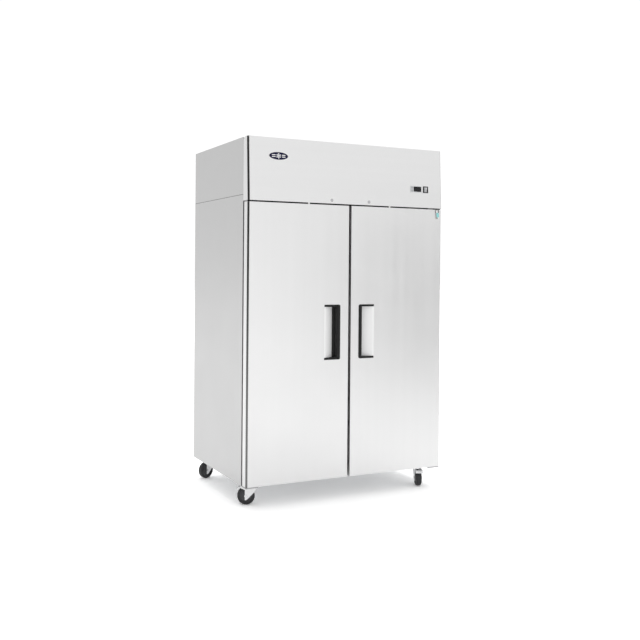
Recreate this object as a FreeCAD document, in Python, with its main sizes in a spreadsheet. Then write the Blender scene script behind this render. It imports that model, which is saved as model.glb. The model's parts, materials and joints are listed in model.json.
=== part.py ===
import FreeCAD, Part
import math
import os
import re
import Sketcher

# A two-door reach-in refrigerator with its refrigeration unit on top, standing on four swivel
# casters. Frame: origin at the middle of the footprint on the floor, +Z up, the doors face -Y,
# +X is to the right of someone who stands in front of it.

DIMS = {
    # overall
    "width": 1314, "depth": 805, "height": 2065, "door_zone": 67.5, "caster_height": 124,
    "header_bottom": 1710, "cover_seam": 1744, "skin": 1.2, "liner_sheet": 0.8, "wall": 58,
    "flange_wide": 17, "cover_gap": 3, "cover_hem": 20,
    # front frame
    "stile": 65, "rail": 71, "mullion": 64, "frame_deep": 20,
    # doors
    "door_front_gap": 4, "door_thick": 50, "door_bottom": 127, "door_top": 1702.5, "centre_gap": 14,
    "door_side_gap": 0.5, "edge_bevel": 9, "seam_bevel": 1.5, "hinge_inset": 20, "hinge_back": 26.5,
    "hinge_pin": 5, "fit_gap": 0.06, "gasket_wide": 20, "gasket_air": 0.2, "gasket_edge": 12,
    "plug_inset": 45, "plug_rise": 60, "plug_deep": 7,
    # recessed handle
    "handle_near": 62, "handle_far": 168, "handle_low": 812, "handle_high": 1128, "handle_proud": 3.5,
    "handle_round": 12, "window_gap": 0.2, "grip_wide": 23, "arm_thick": 12, "recess_deep": 41,
    "hook_rise": 1.1,
    # header
    "header_tilt": 2.34, "header_lip": 10, "header_return": 49, "header_axis_y": 347,
    "header_axis_z": 2058, "header_pin": 2.5, "header_notch": 15, "rail_deep": 20, "header_end": 12,
    "ear_x": 611, "lug_x": 619, "badge_x": 468, "badge_z": 253, "badge_long": 61, "badge_high": 22,
    "control_x": 464, "control_z": 111, "control_wide": 80, "control_high": 38, "switch_x": 535,
    "button_rise": 8.5, "lock_x": 126, "lock_z": 1729, "lock_radius": 9.5, "plug_radius": 6,
    "cam_reach": 38, "cam_wide": 16,
    # machine bay
    "tray_left": -60, "tray_right": 400, "tray_front": -310, "tray_back": 280, "tray_high": 16,
    "coil_left": 10, "coil_right": 330, "coil_high": 250, "coil_deep": 60, "coil_lift": 4,
    "fan_hole": 100, "fan_radius": 92, "compressor_x": 190, "compressor_y": 150,
    "compressor_radius": 78, "foot_x": 82, "foot_y": 46, "port_high": 186, "line_hole": 14,
    "slot_count": 9, "slot_pitch": 24, "slot_first": 60, "slot_high": 10, "slot_half": 380,
    "gland_x": -540, "gland_rise": 60,
    # interior
    "evap_half": 330, "evap_front": 20, "evap_low": 1520, "shelf_first": 560, "shelf_step": 360,
    "shelf_wire": 2.5, "shelf_rim": 4, "shelf_inner": 24, "shelf_outer": 586, "shelf_front": -285,
    "shelf_back": 322, "wire_count": 13, "cross_count": 4, "upright_deep": 8, "upright_wide": 20,
    # casters
    "swivel_x": 567, "swivel_front": -291, "swivel_back": 340, "wheel_radius": 50, "wheel_wide": 32,
    "trail": 35, "leg_gap": 35, "leg_thick": 3, "leg_reach": 20, "leg_low": 28, "axle_radius": 6,
    "race_radius": 26, "kingpin": 6, "bolt_x": 38, "bolt_y": 27, "pedal_pin": 2.5, "pedal_x": 60,
}

# Places worked out from the driving dimensions
PLACES = {
    "half": "(width/2)", "back": "(depth/2)", "face": "(door_zone - depth/2)",
    "front": "(door_front_gap - depth/2)", "door_back": "(front + door_thick)",
    "face_plate": "(face + skin)", "frame_back": "(face_plate + frame_deep)",
    "inner_x": "(half - wall)", "inner_y": "(back - wall)", "floor": "(caster_height + wall)",
    "ceiling": "(cover_seam - wall)", "door_near": "(centre_gap/2)", "door_far": "(half - door_side_gap)",
    "hinge_x": "(half - hinge_inset)", "hinge_y": "(front + hinge_back)",
    "gasket_far": "(hinge_x - 1)", "gasket_near": "(door_near + 8)",
    "gasket_low": "(door_bottom + gasket_edge)", "gasket_high": "(door_top - gasket_edge)",
    "recess_back": "(front + recess_deep)", "pocket_near": "(handle_near - 1)",
    "pocket_far": "(handle_far + 1)", "pocket_low": "(handle_low - 1)", "pocket_high": "(handle_high + 1)",
    "header_front": "(-depth/2)", "header_high": "(height - header_bottom)",
    "lock_cam_y": "(header_front + 29)", "coil_front": "(tray_front + 20)",
    "coil_back": "(coil_front + coil_deep)", "bay_floor": "(cover_seam + tray_high)",
    "fan_x": "((coil_left + coil_right)/2)", "fan_z": "(bay_floor + coil_lift + coil_high/2)",
    "line_y": "(inner_y - 40)", "gland_z": "(cover_seam + gland_rise)",
    "evap_fan_z": "(evap_low + 82)", "port_x": "(compressor_x - 40)",
    "port_y": "(compressor_y - 20)", "fork_top": "(caster_height - 17)",
    "pedal_z": "(fork_top - 7)",
}

doc = FreeCAD.newDocument("reach_in_refrigerator")
sheet = doc.addObject("Spreadsheet::Sheet", "dims")
nodes = []


def fill_sheet():
    """Write each driving dimension as a plain number with its alias."""
    for row, (alias, value) in enumerate(DIMS.items(), start=1):
        sheet.set(f"A{row}", alias)
        sheet.set(f"B{row}", str(value))
        sheet.setAlias(f"B{row}", alias)
    doc.recompute()


def formula(text):
    """Turn words such as 'half - wall' into an expression on the sheet's cells."""
    def word(match):
        name = match.group()
        if name in PLACES:
            return formula(PLACES[name])
        return f"dims.{name}" if name in DIMS else name
    return re.sub(r"[a-z][a-z_]*", word, str(text))


def value(text):
    """The number that a formula gives now."""
    return float(sheet.evalExpression(formula(text)))


def bind(thing, **formulas):
    """Bind properties such as Radius or Placement__Base__x to formulas."""
    for name, text in formulas.items():
        thing.setExpression(name.replace("__", "."), formula(text))
    return thing


def block(name, x, y, z):
    """A box from the low to the high value along each axis."""
    box = doc.addObject("Part::Box", name)
    for size, axis, (low, high) in (("Length", "x", x), ("Width", "y", y), ("Height", "z", z)):
        box.setExpression(size, formula(f"({high}) - ({low})"))
        box.setExpression(f"Placement.Base.{axis}", formula(low))
    return box


TURN = {
    "x": FreeCAD.Rotation(FreeCAD.Vector(0, 1, 0), 90),
    "y": FreeCAD.Rotation(FreeCAD.Vector(1, 0, 0), -90),
    "z": FreeCAD.Rotation(),
}


def rod(name, axis, radius, span, **centre):
    """A cylinder along one axis, from span's low to its high value."""
    cylinder = doc.addObject("Part::Cylinder", name)
    cylinder.Placement = FreeCAD.Placement(FreeCAD.Vector(), TURN[axis])
    low, high = span
    bind(cylinder, Radius=radius, Height=f"({high}) - ({low})")
    centre[axis] = low
    for letter, text in centre.items():
        cylinder.setExpression(f"Placement.Base.{letter}", formula(text))
    return cylinder


def plane(body, role):
    return next(item for item in body.Origin.OriginFeatures if item.Role == role)


def outline(body, role, points, offset="0"):
    """A closed straight-sided sketch whose corners are bound to formulas."""
    sketch = body.newObject("Sketcher::SketchObject", body.Name + "_sketch")
    sketch.AttachmentSupport = [(plane(body, role), "")]
    sketch.MapMode = "FlatFace"
    sketch.setExpression("AttachmentOffset.Base.z", formula(offset))
    corners = [FreeCAD.Vector(value(u), value(v), 0) for u, v in points]
    count = len(corners)
    for index in range(count):
        sketch.addGeometry(Part.LineSegment(corners[index], corners[(index + 1) % count]), False)
    for index in range(count):
        sketch.addConstraint(Sketcher.Constraint("Coincident", index, 2, (index + 1) % count, 1))
    for index, (u, v) in enumerate(points):
        for kind, text, at in (("DistanceX", u, corners[index].x), ("DistanceY", v, corners[index].y)):
            number = sketch.addConstraint(Sketcher.Constraint(kind, -1, 1, index, 1, at))
            sketch.setExpression(f"Constraints[{number}]", formula(text))
    return sketch


def prism(name, role, points, span):
    """A padded outline: XY_Plane pads along Z, YZ_Plane along X and XZ_Plane along Y."""
    body = doc.addObject("PartDesign::Body", name)
    low, high = span
    offset = f"-({high})" if role == "XZ_Plane" else low
    sketch = outline(body, role, points, offset)
    pad = body.newObject("PartDesign::Pad", name + "_pad")
    pad.Profile = sketch
    bind(pad, Length=f"({high}) - ({low})")
    return body


def turned(name, points, axis="z", **centre):
    """A body revolved from (radius, height) points about the given axis."""
    body = doc.addObject("PartDesign::Body", name)
    sketch = outline(body, "XZ_Plane", points)
    turn = body.newObject("PartDesign::Revolution", name + "_turn")
    turn.Profile = sketch
    turn.ReferenceAxis = (sketch, ["V_Axis"])
    turn.Angle = 360
    body.Placement = FreeCAD.Placement(FreeCAD.Vector(), TURN[axis])
    for letter, text in centre.items():
        body.setExpression(f"Placement.Base.{letter}", formula(text))
    return body


def group(name, parts):
    compound = doc.addObject("Part::Compound", name)
    compound.Links = parts
    return compound


def fuse(name, parts):
    joined = doc.addObject("Part::MultiFuse", name)
    joined.Shapes = parts
    return joined


def cut(name, base, tools):
    """Base less one or more tools that stay clear of each other."""
    result = doc.addObject("Part::Cut", name)
    result.Base = base
    result.Tool = tools[0] if len(tools) == 1 else group(name + "_tools", tools)
    return result


def section(name, thing, x, y, z):
    """The part of a thing that lies inside a box."""
    kept = doc.addObject("Part::Common", name)
    kept.Base = thing
    kept.Tool = block(name + "_box", x, y, z)
    return kept


def mirror(name, source):
    copy = doc.addObject("Part::Mirroring", name)
    copy.Source = source
    copy.Normal = (1, 0, 0)
    return copy


def pair(name, source):
    """The piece and its mirror image, in one node."""
    return group(name, [source, mirror(name + "_left", source)])


def node(label, thing):
    """Name a finished sub-part."""
    thing.Label = label
    nodes.append(thing)
    return thing


def tube(name, points, radius, bend):
    """A round tube of straight runs joined by tangent arcs of one bend radius."""
    corners = [FreeCAD.Vector(*(value(c) for c in point)) for point in points]
    edges = []
    start = corners[0]
    for before, corner, after in zip(corners, corners[1:], corners[2:]):
        to_before = (before - corner).normalize()
        to_after = (after - corner).normalize()
        half_angle = to_before.getAngle(to_after) / 2
        reach = bend / math.tan(half_angle)
        first = corner + to_before * reach
        last = corner + to_after * reach
        middle_way = (to_before + to_after).normalize()
        middle = corner + middle_way * (bend / math.sin(half_angle) - bend)
        edges.append(Part.LineSegment(start, first).toShape())
        edges.append(Part.Arc(first, middle, last).toShape())
        start = last
    edges.append(Part.LineSegment(start, corners[-1]).toShape())
    ring = Part.Wire(Part.makeCircle(radius, corners[0], corners[1] - corners[0]))
    feature = doc.addObject("Part::Feature", name)
    feature.Shape = Part.Wire(edges).makePipeShell([ring], True, False)
    return feature


# ---- cabinet -------------------------------------------------------------------------------------

def side_panels():
    """Outer side sheets, each with a flange turned in at the front."""
    tall = ("caster_height", "cover_seam")
    outer = block("side_sheet", ("half - skin", "half"), ("face", "back"), tall)
    flange = block("side_flange", ("half - flange_wide", "half - skin"), ("face", "face_plate"), tall)
    node("side_panels", pair("side_panels", group("side_panel", [outer, flange])))


def rear_panel():
    node("rear_panel", block("rear_panel", ("skin - half", "half - skin"), ("back - skin", "back"),
                             ("caster_height", "cover_seam")))


def base_and_deck_pans():
    """The sheet under the cabinet and the one on top of it, which carries the machine."""
    x = ("skin - half", "half - skin")
    y = ("face_plate", "back - skin")
    base = block("base_sheet", x, y, ("caster_height", "caster_height + skin"))
    deck = block("deck_sheet", x, y, ("cover_seam - skin", "cover_seam"))
    hole = rod("deck_hole", "z", "line_hole", ("cover_seam - 5", "cover_seam + 5"), x="0", y="line_y")
    node("base_and_deck_pans", group("base_and_deck", [base, cut("deck_cut", deck, [hole])]))


def insulation():
    """Foam slabs between the outer sheets and the liner."""
    outer = "half - skin"
    inner = "inner_x + liner_sheet"
    rear = "inner_y + liner_sheet"
    deep = ("frame_back", "back - skin")
    tall = ("caster_height + skin", "cover_seam - skin")
    between = (f"-({inner})", inner)
    side = block("foam_side", (inner, outer), deep, tall)
    rear_slab = block("foam_rear", between, (rear, "back - skin"), tall)
    floor = block(
        "foam_floor", between, ("frame_back", rear), ("caster_height + skin", "floor - liner_sheet"),
    )
    roof = block(
        "foam_roof", between, ("frame_back", rear), ("ceiling + liner_sheet", "cover_seam - skin"),
    )
    hole = rod("foam_hole", "z", "line_hole", ("ceiling - 5", "cover_seam + 5"), x="0", y="line_y")
    slabs = [side, mirror("foam_side_left", side), rear_slab, floor, cut("foam_roof_cut", roof, [hole])]
    node("insulation", group("insulation", slabs))


def liner():
    """Interior sheet box, open at the front."""
    shell = block(
        "liner_outside", ("-inner_x - liner_sheet", "inner_x + liner_sheet"),
        ("frame_back", "inner_y + liner_sheet"), ("floor - liner_sheet", "ceiling + liner_sheet"),
    )
    space = block(
        "liner_inside", ("-inner_x", "inner_x"), ("frame_back - 5", "inner_y"), ("floor", "ceiling"),
    )
    hole = rod("liner_hole", "z", "line_hole", ("ceiling", "ceiling + 5"), x="0", y="line_y")
    node("liner", cut("liner", shell, [fuse("liner_space", [space, hole])]))


def front_frame():
    """The frame that the door gaskets close on: two stiles, two rails and a centre mullion."""
    deep = ("face_plate", "frame_back")
    tall = ("caster_height + skin", "cover_seam - skin")
    low = "caster_height + rail"
    high = "cover_seam - rail"
    between = ("skin + stile - half", "half - skin - stile")
    stile = block("stile_right", ("half - skin - stile", "half - skin"), deep, tall)
    rails = [
        block("rail_low", between, deep, (tall[0], low)),
        block("rail_high", between, deep, (high, tall[1])),
    ]
    post = block("mullion_post", ("-mullion/2", "mullion/2"), deep, (low, high))
    node("front_frame", group("front_frame", [stile, mirror("stile_left", stile), post] + rails))


def shelf_supports():
    """Slotted uprights on the walls, the mullion and the rear wall, with a clip under each shelf corner."""
    pieces = []
    tall = ("floor + 20", "evap_low - 10")
    side_y = ("shelf_front + 25", "shelf_back - 45")
    for index, y in enumerate(side_y):
        pieces.append(
            block(
                f"upright_side_{index}", ("inner_x - upright_deep", "inner_x"),
                (y, f"{y} + upright_wide"), tall,
            )
        )
    for name, y in (
        ("front", ("frame_back", "frame_back + upright_deep")),
        ("rear", ("inner_y - upright_deep", "inner_y")),
    ):
        pieces.append(block(f"upright_{name}", ("8", "8 + upright_wide"), y, tall))
    for level in range(3):
        top = f"shelf_first + {level}*shelf_step - shelf_rim"
        z = (f"{top} - 12", top)
        for index, y in enumerate(side_y):
            pieces.append(
                block(
                    f"clip_side_{level}_{index}", ("inner_x - 24", "inner_x - upright_deep"),
                    (f"{y} + 3", f"{y} + 17"), z,
                )
            )
        for name, y in (
            ("front", ("frame_back + upright_deep", "shelf_front + 12")),
            ("rear", ("shelf_back - 12", "inner_y - upright_deep")),
        ):
            pieces.append(block(f"clip_{name}_{level}", ("26", "40"), y, z))
    node(
        "shelf_supports",
        group("shelf_supports", pieces + [mirror("supports_left", group("supports_right", pieces))]),
    )


def wire_shelf(level):
    """One shelf: a rim of heavier rod, cross rods, and thin wires that run front to back."""
    z = f"shelf_first + {level}*shelf_step"
    pieces = []
    for index, y in enumerate(("shelf_front", "shelf_back")):
        pieces.append(
            rod(f"rim_{level}_{index}", "x", "shelf_rim", ("shelf_inner", "shelf_outer"), y=y, z=z)
        )
    for index, x in enumerate(("shelf_inner", "shelf_outer")):
        pieces.append(
            rod(f"rim_{level}_{index + 2}", "y", "shelf_rim", ("shelf_front", "shelf_back"), x=x, z=z)
        )
    for index in range(1, DIMS["cross_count"] + 1):
        y = f"shelf_front + {index}*(shelf_back - shelf_front)/(cross_count + 1)"
        pieces.append(
            rod(f"cross_{level}_{index}", "x", "shelf_wire", ("shelf_inner", "shelf_outer"), y=y, z=z)
        )
    for index in range(1, DIMS["wire_count"] + 1):
        x = f"shelf_inner + {index}*(shelf_outer - shelf_inner)/(wire_count + 1)"
        pieces.append(
            rod(
                f"wire_{level}_{index}", "y", "shelf_wire", ("shelf_front", "shelf_back"), x=x,
                z=f"{z} + 2",
            )
        )
    return fuse(f"shelf_{level}", pieces)


def shelves():
    right = [wire_shelf(level) for level in range(3)]
    left = [mirror(f"shelf_left_{level}", shelf) for level, shelf in enumerate(right)]
    node("shelves", group("shelves", right + left))


def interior_lamps():
    lamp = prism(
        "lamp", "YZ_Plane",
        [
            ("frame_back + 4", "ceiling"), ("frame_back + 30", "ceiling"),
            ("frame_back + 26", "ceiling - 14"), ("frame_back + 12", "ceiling - 14"),
        ],
        ("90", "510"),
    )
    node("interior_lamps", pair("interior_lamps", lamp))


# ---- refrigeration -------------------------------------------------------------------------------

def finned_coil(name, x, y, z, fins):
    """A finned block: a block with slots cut between its fins from one face."""
    core = block(name + "_core", x, y, z)
    slots = []
    for index in range(fins):
        at = f"({x[0]}) + ({index} + 0.5)*(({x[1]}) - ({x[0]}))/{fins}"
        slots.append(
            block(
                f"{name}_slot_{index}", (f"{at} - 2", f"{at} + 2"), (f"({y[0]}) - 1", f"({y[1]}) - 12"),
                (f"({z[0]}) + 8", f"({z[1]}) - 8"),
            )
        )
    return cut(name, core, slots)


def fan(name, centre, hub_radius, hub_long, tip, blades, pitch):
    """A hub with flat pitched blades, on an axis along Y."""
    x, y, z = centre
    pieces = [
        rod(
            name + "_hub", "y", hub_radius, (f"({y}) - {hub_long}/2", f"({y}) + {hub_long}/2"), x=x,
            z=z,
        )
    ]
    chord = 46
    for index in range(blades):
        blade = doc.addObject("Part::Box", f"{name}_blade_{index}")
        blade.Width = 1.6
        blade.Length = chord
        bind(blade, Height=f"({tip}) - ({hub_radius}) + 3")
        spin = FreeCAD.Rotation(FreeCAD.Vector(0, 1, 0), 360 * index / blades)
        tilt = FreeCAD.Rotation(FreeCAD.Vector(0, 0, 1), pitch)
        start = FreeCAD.Vector(-chord / 2, -0.8, 0)
        out = FreeCAD.Vector(0, 0, value(hub_radius) - 3)
        middle = FreeCAD.Vector(value(x), value(y), value(z))
        blade.Placement = FreeCAD.Placement(
            middle + spin.multVec(out + tilt.multVec(start)), spin * tilt,
        )
        pieces.append(blade)
    wheel = fuse(name + "_blades", pieces)
    shaft = rod(name + "_bore", "y", "3.06", (f"({y}) - {hub_long}", f"({y}) + {hub_long}"), x=x, z=z)
    return cut(name, wheel, [shaft])


def condensing_unit():
    """Tray, finned condenser, fan shroud and hermetic compressor on top of the cabinet."""
    tray = block(
        "tray_plate", ("tray_left", "tray_right"), ("tray_front", "tray_back"),
        ("bay_floor - 2", "bay_floor"),
    )
    rails = [
        block(
            f"tray_rail_{index}", (x, f"{x} + 24"), ("tray_front", "tray_back"),
            ("cover_seam", "bay_floor - 2"),
        )
        for index, x in enumerate(("tray_left + 10", "tray_right - 34"))
    ]
    node("condensing_tray", group("condensing_tray", [tray] + rails))

    node(
        "condenser_coil",
        finned_coil(
            "condenser_coil", ("coil_left", "coil_right"), ("coil_front", "coil_back"),
            ("bay_floor + coil_lift", "bay_floor + coil_lift + coil_high"), 20,
        ),
    )

    plate = block("shroud_plate", ("coil_left", "coil_right"), ("coil_back", "coil_back + 30"),
                  ("bay_floor", "bay_floor + coil_lift + coil_high"))
    hollow = block(
        "shroud_hollow", ("coil_left + 2", "coil_right - 2"), ("coil_back - 1", "coil_back + 28"),
        ("bay_floor + 6", "bay_floor + 2 + coil_high"),
    )
    hole = rod(
        "shroud_hole", "y", "fan_hole", ("coil_back + 27", "coil_back + 33"), x="fan_x", z="fan_z",
    )
    node("condenser_shroud", cut("condenser_shroud", plate, [fuse("shroud_space", [hollow, hole])]))

    dome = "compressor_radius - 22"
    profile = [
        ("0", "14"), ("compressor_radius - 14", "14"), ("compressor_radius", "34"),
        ("compressor_radius", "84"), ("compressor_radius + 4", "84"), ("compressor_radius + 4", "92"),
        ("compressor_radius", "92"), ("compressor_radius", "140"), ("compressor_radius - 8", "160"),
        (dome, "172"), ("0", "180"),
    ]
    shell = turned("compressor_shell", profile, x="compressor_x", y="compressor_y", z="bay_floor")
    foot = block(
        "compressor_foot", ("compressor_x - 95", "compressor_x + 95"),
        ("compressor_y - 60", "compressor_y + 60"), ("bay_floor + 8", "bay_floor + 15"),
    )
    pads = [
        rod(
            f"foot_pad_{index}", "z", "10", ("bay_floor", "bay_floor + 8.5"),
            x=f"compressor_x + {sx}*foot_x", y=f"compressor_y + {sy}*foot_y",
        )
        for index, (sx, sy) in enumerate(((-1, -1), (1, -1), (-1, 1), (1, 1)))
    ]
    box = block(
        "terminal_box", ("compressor_x - 112", "compressor_x - 68"),
        ("compressor_y - 30", "compressor_y + 30"), ("bay_floor + 50", "bay_floor + 110"),
    )
    port = rod(
        "discharge_port", "z", "7", ("bay_floor + 165", "bay_floor + port_high"), x="port_x",
        y="port_y",
    )
    node("compressor", fuse("compressor", [shell, foot, box, port] + pads))


def fan_motors():
    """The condenser and evaporator fan motors, each with a shaft and a four-armed bracket."""
    pieces = []
    motors = (
        ("condenser", "fan_x", "fan_z", "coil_back", 50, 110, "fan_hole + 12", "fan_hole - 33"),
        (
            "evaporator", "0", "evap_fan_z", "evap_front", 60, 100, "fan_hole - 30",
            "ceiling - evap_fan_z",
        ),
    )
    for name, x, z, base, near, far, reach, rise in motors:
        shaft_low, can_low, can_high = f"{base} + 14", f"{base} + {near}", f"{base} + {far}"
        can = rod(f"{name}_can", "y", "32", (can_low, can_high), x=x, z=z)
        shaft = rod(f"{name}_shaft", "y", "3", (shaft_low, f"{can_low} + 1"), x=x, z=z)
        arms = [block(f"{name}_arm_across", (f"{x} - ({reach})", f"{x} + ({reach})"),
                      (f"{can_low} + 4", f"{can_low} + 8"), (f"{z} - 6", f"{z} + 6")),
                block(f"{name}_arm_up", (f"{x} - 6", f"{x} + 6"), (f"{can_low} + 4", f"{can_low} + 8"),
                      (f"{z} - 50", f"{z} + {rise}"))]
        pieces.append(fuse(f"{name}_motor", [can, shaft] + arms))
    legs = [
        block(
            f"motor_leg_{index}",
            (f"fan_x + {side}*(fan_hole + 6) - 5", f"fan_x + {side}*(fan_hole + 6) + 5"),
            ("coil_back + 30", "coil_back + 54"), ("fan_z - 6", "fan_z + 6"),
        )
        for index, side in enumerate((-1, 1))
    ]
    pieces[0] = fuse("condenser_motor_mount", [pieces[0]] + legs)
    node("fan_motors", group("fan_motors", pieces))


def fans():
    node(
        "condenser_fan",
        fan("condenser_fan", ("fan_x", "coil_back + 29", "fan_z"), "22", 22, "fan_radius", 5, 28),
    )
    node(
        "evaporator_fan",
        fan("evaporator_fan", ("0", "evap_front + 29", "evap_fan_z"), "16", 20, "fan_hole - 42", 5, 28),
    )


def evaporator():
    """Coil, cover with its fan opening, and drain pan under the cabinet's ceiling."""
    rear = "inner_y - 15"
    node(
        "evaporator_coil",
        finned_coil(
            "evaporator_coil", ("-evap_half + 60", "evap_half - 60"),
            ("evap_front + 130", "inner_y - 70"), ("evap_low + 30", "ceiling - 12"), 24,
        ),
    )
    shell = block(
        "evap_shell", ("-evap_half", "evap_half"), ("evap_front", rear), ("evap_low", "ceiling"),
    )
    space = block(
        "evap_space", ("-evap_half + 1.5", "evap_half - 1.5"), ("evap_front + 1.5", "inner_y"),
        ("evap_low + 1.5", "ceiling + 5"),
    )
    hole = rod(
        "evap_hole", "y", "fan_hole - 36", ("evap_front - 5", "evap_front + 5"), x="0", z="evap_fan_z",
    )
    cover = cut("evaporator_cover", shell, [fuse("evap_hollow", [space, hole])])
    pan = block(
        "pan_outside", ("-evap_half + 30", "evap_half - 30"), ("evap_front + 115", "inner_y - 60"),
        ("evap_low + 4", "evap_low + 26"),
    )
    dish = block(
        "pan_inside", ("-evap_half + 32", "evap_half - 32"), ("evap_front + 117", "inner_y - 62"),
        ("evap_low + 6", "evap_low + 30"),
    )
    node("evaporator_housing", group("evaporator_housing", [cover, cut("drain_pan", pan, [dish])]))


def refrigerant_lines():
    """Copper discharge, liquid and suction lines with the filter drier in the liquid line."""
    bend = 18
    top = "bay_floor + 215"
    discharge = tube(
        "discharge_line",
        [
            ("port_x", "port_y", "bay_floor + port_high"), ("port_x", "port_y", top),
            ("coil_right + 20", "port_y", top), ("coil_right + 20", "coil_back - 20", top),
            ("coil_right", "coil_back - 20", top),
        ],
        4, bend,
    )
    low = "bay_floor + 30"
    liquid = tube(
        "liquid_line",
        [
            ("coil_left", "coil_back - 20", low), ("coil_left - 30", "coil_back - 20", low),
            ("coil_left - 30", "compressor_y - 150", low),
        ],
        3.2, bend,
    )
    drier = turned(
        "filter_drier",
        [("0", "0"), ("5", "0"), ("16", "14"), ("16", "86"), ("5", "100"), ("0", "100")], axis="y",
        x="coil_left - 30", y="compressor_y - 150", z=low,
    )
    well = [("coil_left - 30", "compressor_y - 50", low), ("coil_left - 30", "inner_y - 45", low),
            ("-7", "inner_y - 45", low), ("-7", "inner_y - 45", "ceiling - 30")]
    feed = tube("feed_line", well, 2.5, 8)
    suction = tube(
        "suction_line",
        [
            ("6", "line_y", "ceiling - 30"), ("6", "line_y", "bay_floor + 120"),
            ("compressor_x", "line_y", "bay_floor + 120"),
            ("compressor_x", "compressor_y + compressor_radius", "bay_floor + 120"),
        ],
        5, bend,
    )
    node("refrigerant_lines", group("refrigerant_lines", [discharge, liquid, drier, feed, suction]))


def control_box():
    """Electrical box on the deck, and the gland in the rear grille where the power cord enters."""
    box = block("box_body", ("-560", "-380"), ("-220", "-40"), ("cover_seam", "cover_seam + 130"))
    lid = block("box_lid", ("-563", "-377"), ("-223", "-37"), ("cover_seam + 130", "cover_seam + 134"))
    node("control_box", fuse("control_box", [box, lid]))
    body = turned("gland_body", [("4.5", "-20"), ("9.9", "-20"), ("9.9", "0"), ("4.5", "0")],
                  axis="y", x="gland_x", y="back", z="gland_z")
    nut = turned("gland_nut", [("10", "-9"), ("15", "-9"), ("15", "-2"), ("10", "-2")],
                 axis="y", x="gland_x", y="back - skin", z="gland_z")
    node("cable_gland", group("cable_gland", [body, nut]))


def machine_bay():
    """Side covers and louvred rear grille around the machine, with a rail across the front."""
    cover = block(
        "cover_sheet", ("half - skin", "half"), ("face", "back"), ("cover_seam + cover_gap", "height"),
    )
    hem = block("cover_hem", ("half - cover_hem", "half - skin"), ("face + rail_deep", "back - skin"),
                ("height - skin", "height"))
    node("machine_side_covers", pair("machine_side_covers", group("side_cover", [cover, hem])))

    panel = block(
        "grille_sheet", ("skin - half", "half - skin"), ("back - skin", "back"),
        ("cover_seam", "height - skin"),
    )
    slots = [
        block(
            f"louvre_{index}", ("-slot_half", "slot_half"), ("back - 5", "back + 5"),
            (
                f"cover_seam + slot_first + {index}*slot_pitch",
                f"cover_seam + slot_first + slot_high + {index}*slot_pitch",
            ),
        )
        for index in range(DIMS["slot_count"])
    ]
    entry = rod("gland_hole", "y", "10", ("back - 5", "back + 5"), x="gland_x", z="gland_z")
    node("rear_grille", cut("rear_grille", panel, slots + [entry]))

    rail = block("rail_bar", ("skin - half", "half - skin"), ("face", "face + rail_deep"),
                 ("height - 6 - rail_deep", "height - 6"))
    lugs = []
    for index, side in enumerate((-1, 1)):
        near, far = (f"{side}*lug_x - 3", f"{side}*lug_x + 3")
        lugs.append(block(f"header_lug_{index}", (near, far), ("-header_axis_y - 4", "face"),
                          ("header_axis_z - 4", "header_axis_z + 1")))
        pin = (f"{side}*(lug_x - 7) - 8", f"{side}*(lug_x - 7) + 8")
        lugs.append(
            rod(f"header_pin_{index}", "x", "header_pin", pin, y="-header_axis_y", z="header_axis_z")
        )
    node("header_rail", fuse("header_rail", [rail] + lugs))


# ---- doors ---------------------------------------------------------------------------------------

def beveled(name, inset, y_back, z):
    """A block inset from the door's outline: a wide bevel down its hinge side, a slight one opposite."""
    near = f"door_near + {inset}"
    far = f"door_far - {inset}"
    nose = f"front + {inset}"
    slight = f"seam_bevel - 0.4*{inset}"
    wide = f"edge_bevel - 0.4*{inset}"
    points = [(near, y_back), (near, f"{nose} + {slight}"), (f"{near} + {slight}", nose),
              (f"{far} - ({wide})", nose), (far, f"{nose} + {wide}"), (far, y_back)]
    return prism(name, "XY_Plane", points, z)


def lock_slot(name):
    """The slot in the door's top that the lock's cam turns down into."""
    return block(name, ("lock_x - 11", "lock_x + 32"), ("lock_cam_y - 3", "lock_cam_y + 6"),
                 ("door_top - 16", "door_top + 5"))


def hinge_bores(name, radius):
    return [
        rod(
            f"{name}_low", "z", radius, ("door_bottom - 5", "door_bottom + 30"), x="hinge_x",
            y="hinge_y",
        ),
        rod(f"{name}_high", "z", radius, ("door_top - 30", "door_top + 5"), x="hinge_x", y="hinge_y"),
    ]


def handle_corners(name, grow):
    """What is cut away to round the two corners of the handle's outline that are nearest the centre gap."""
    cutters = []
    for end, corner, sign in (("low", "handle_low", "+"), ("high", "handle_high", "-")):
        centre = f"{corner} {sign} handle_round"
        z = (f"{corner} - 3", centre) if sign == "+" else (centre, f"{corner} + 3")
        deep = ("front - 12", "recess_back + 2")
        square = block(
            f"{name}_square_{end}", ("handle_near - 3", "handle_near + handle_round"), deep, z,
        )
        disc = rod(
            f"{name}_disc_{end}", "y", f"handle_round + {grow}", deep, x="handle_near + handle_round",
            z=centre,
        )
        cutters.append(cut(f"{name}_corner_{end}", square, [disc]))
    return cutters


def door_skin():
    """Outer pan of the right door: front sheet, returns, handle opening, lock slot and hinge bores."""
    outside = beveled("skin_outside", "0", "door_back", ("door_bottom", "door_top"))
    inside = beveled("skin_inside", "skin", "door_back + 5", ("door_bottom + skin", "door_top - skin"))
    hole = block(
        "skin_window", ("handle_near - window_gap", "handle_far + window_gap"),
        ("front - 5", "front + 5"), ("handle_low - window_gap", "handle_high + window_gap"),
    )
    window = cut("skin_window_rounded", hole, handle_corners("window", "window_gap"))
    bores = hinge_bores("skin_bore", "hinge_pin + fit_gap")
    space = fuse("skin_space", [inside, window, lock_slot("skin_slot")] + bores)
    return cut("door_right_skin_raw", outside, [space])


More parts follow.
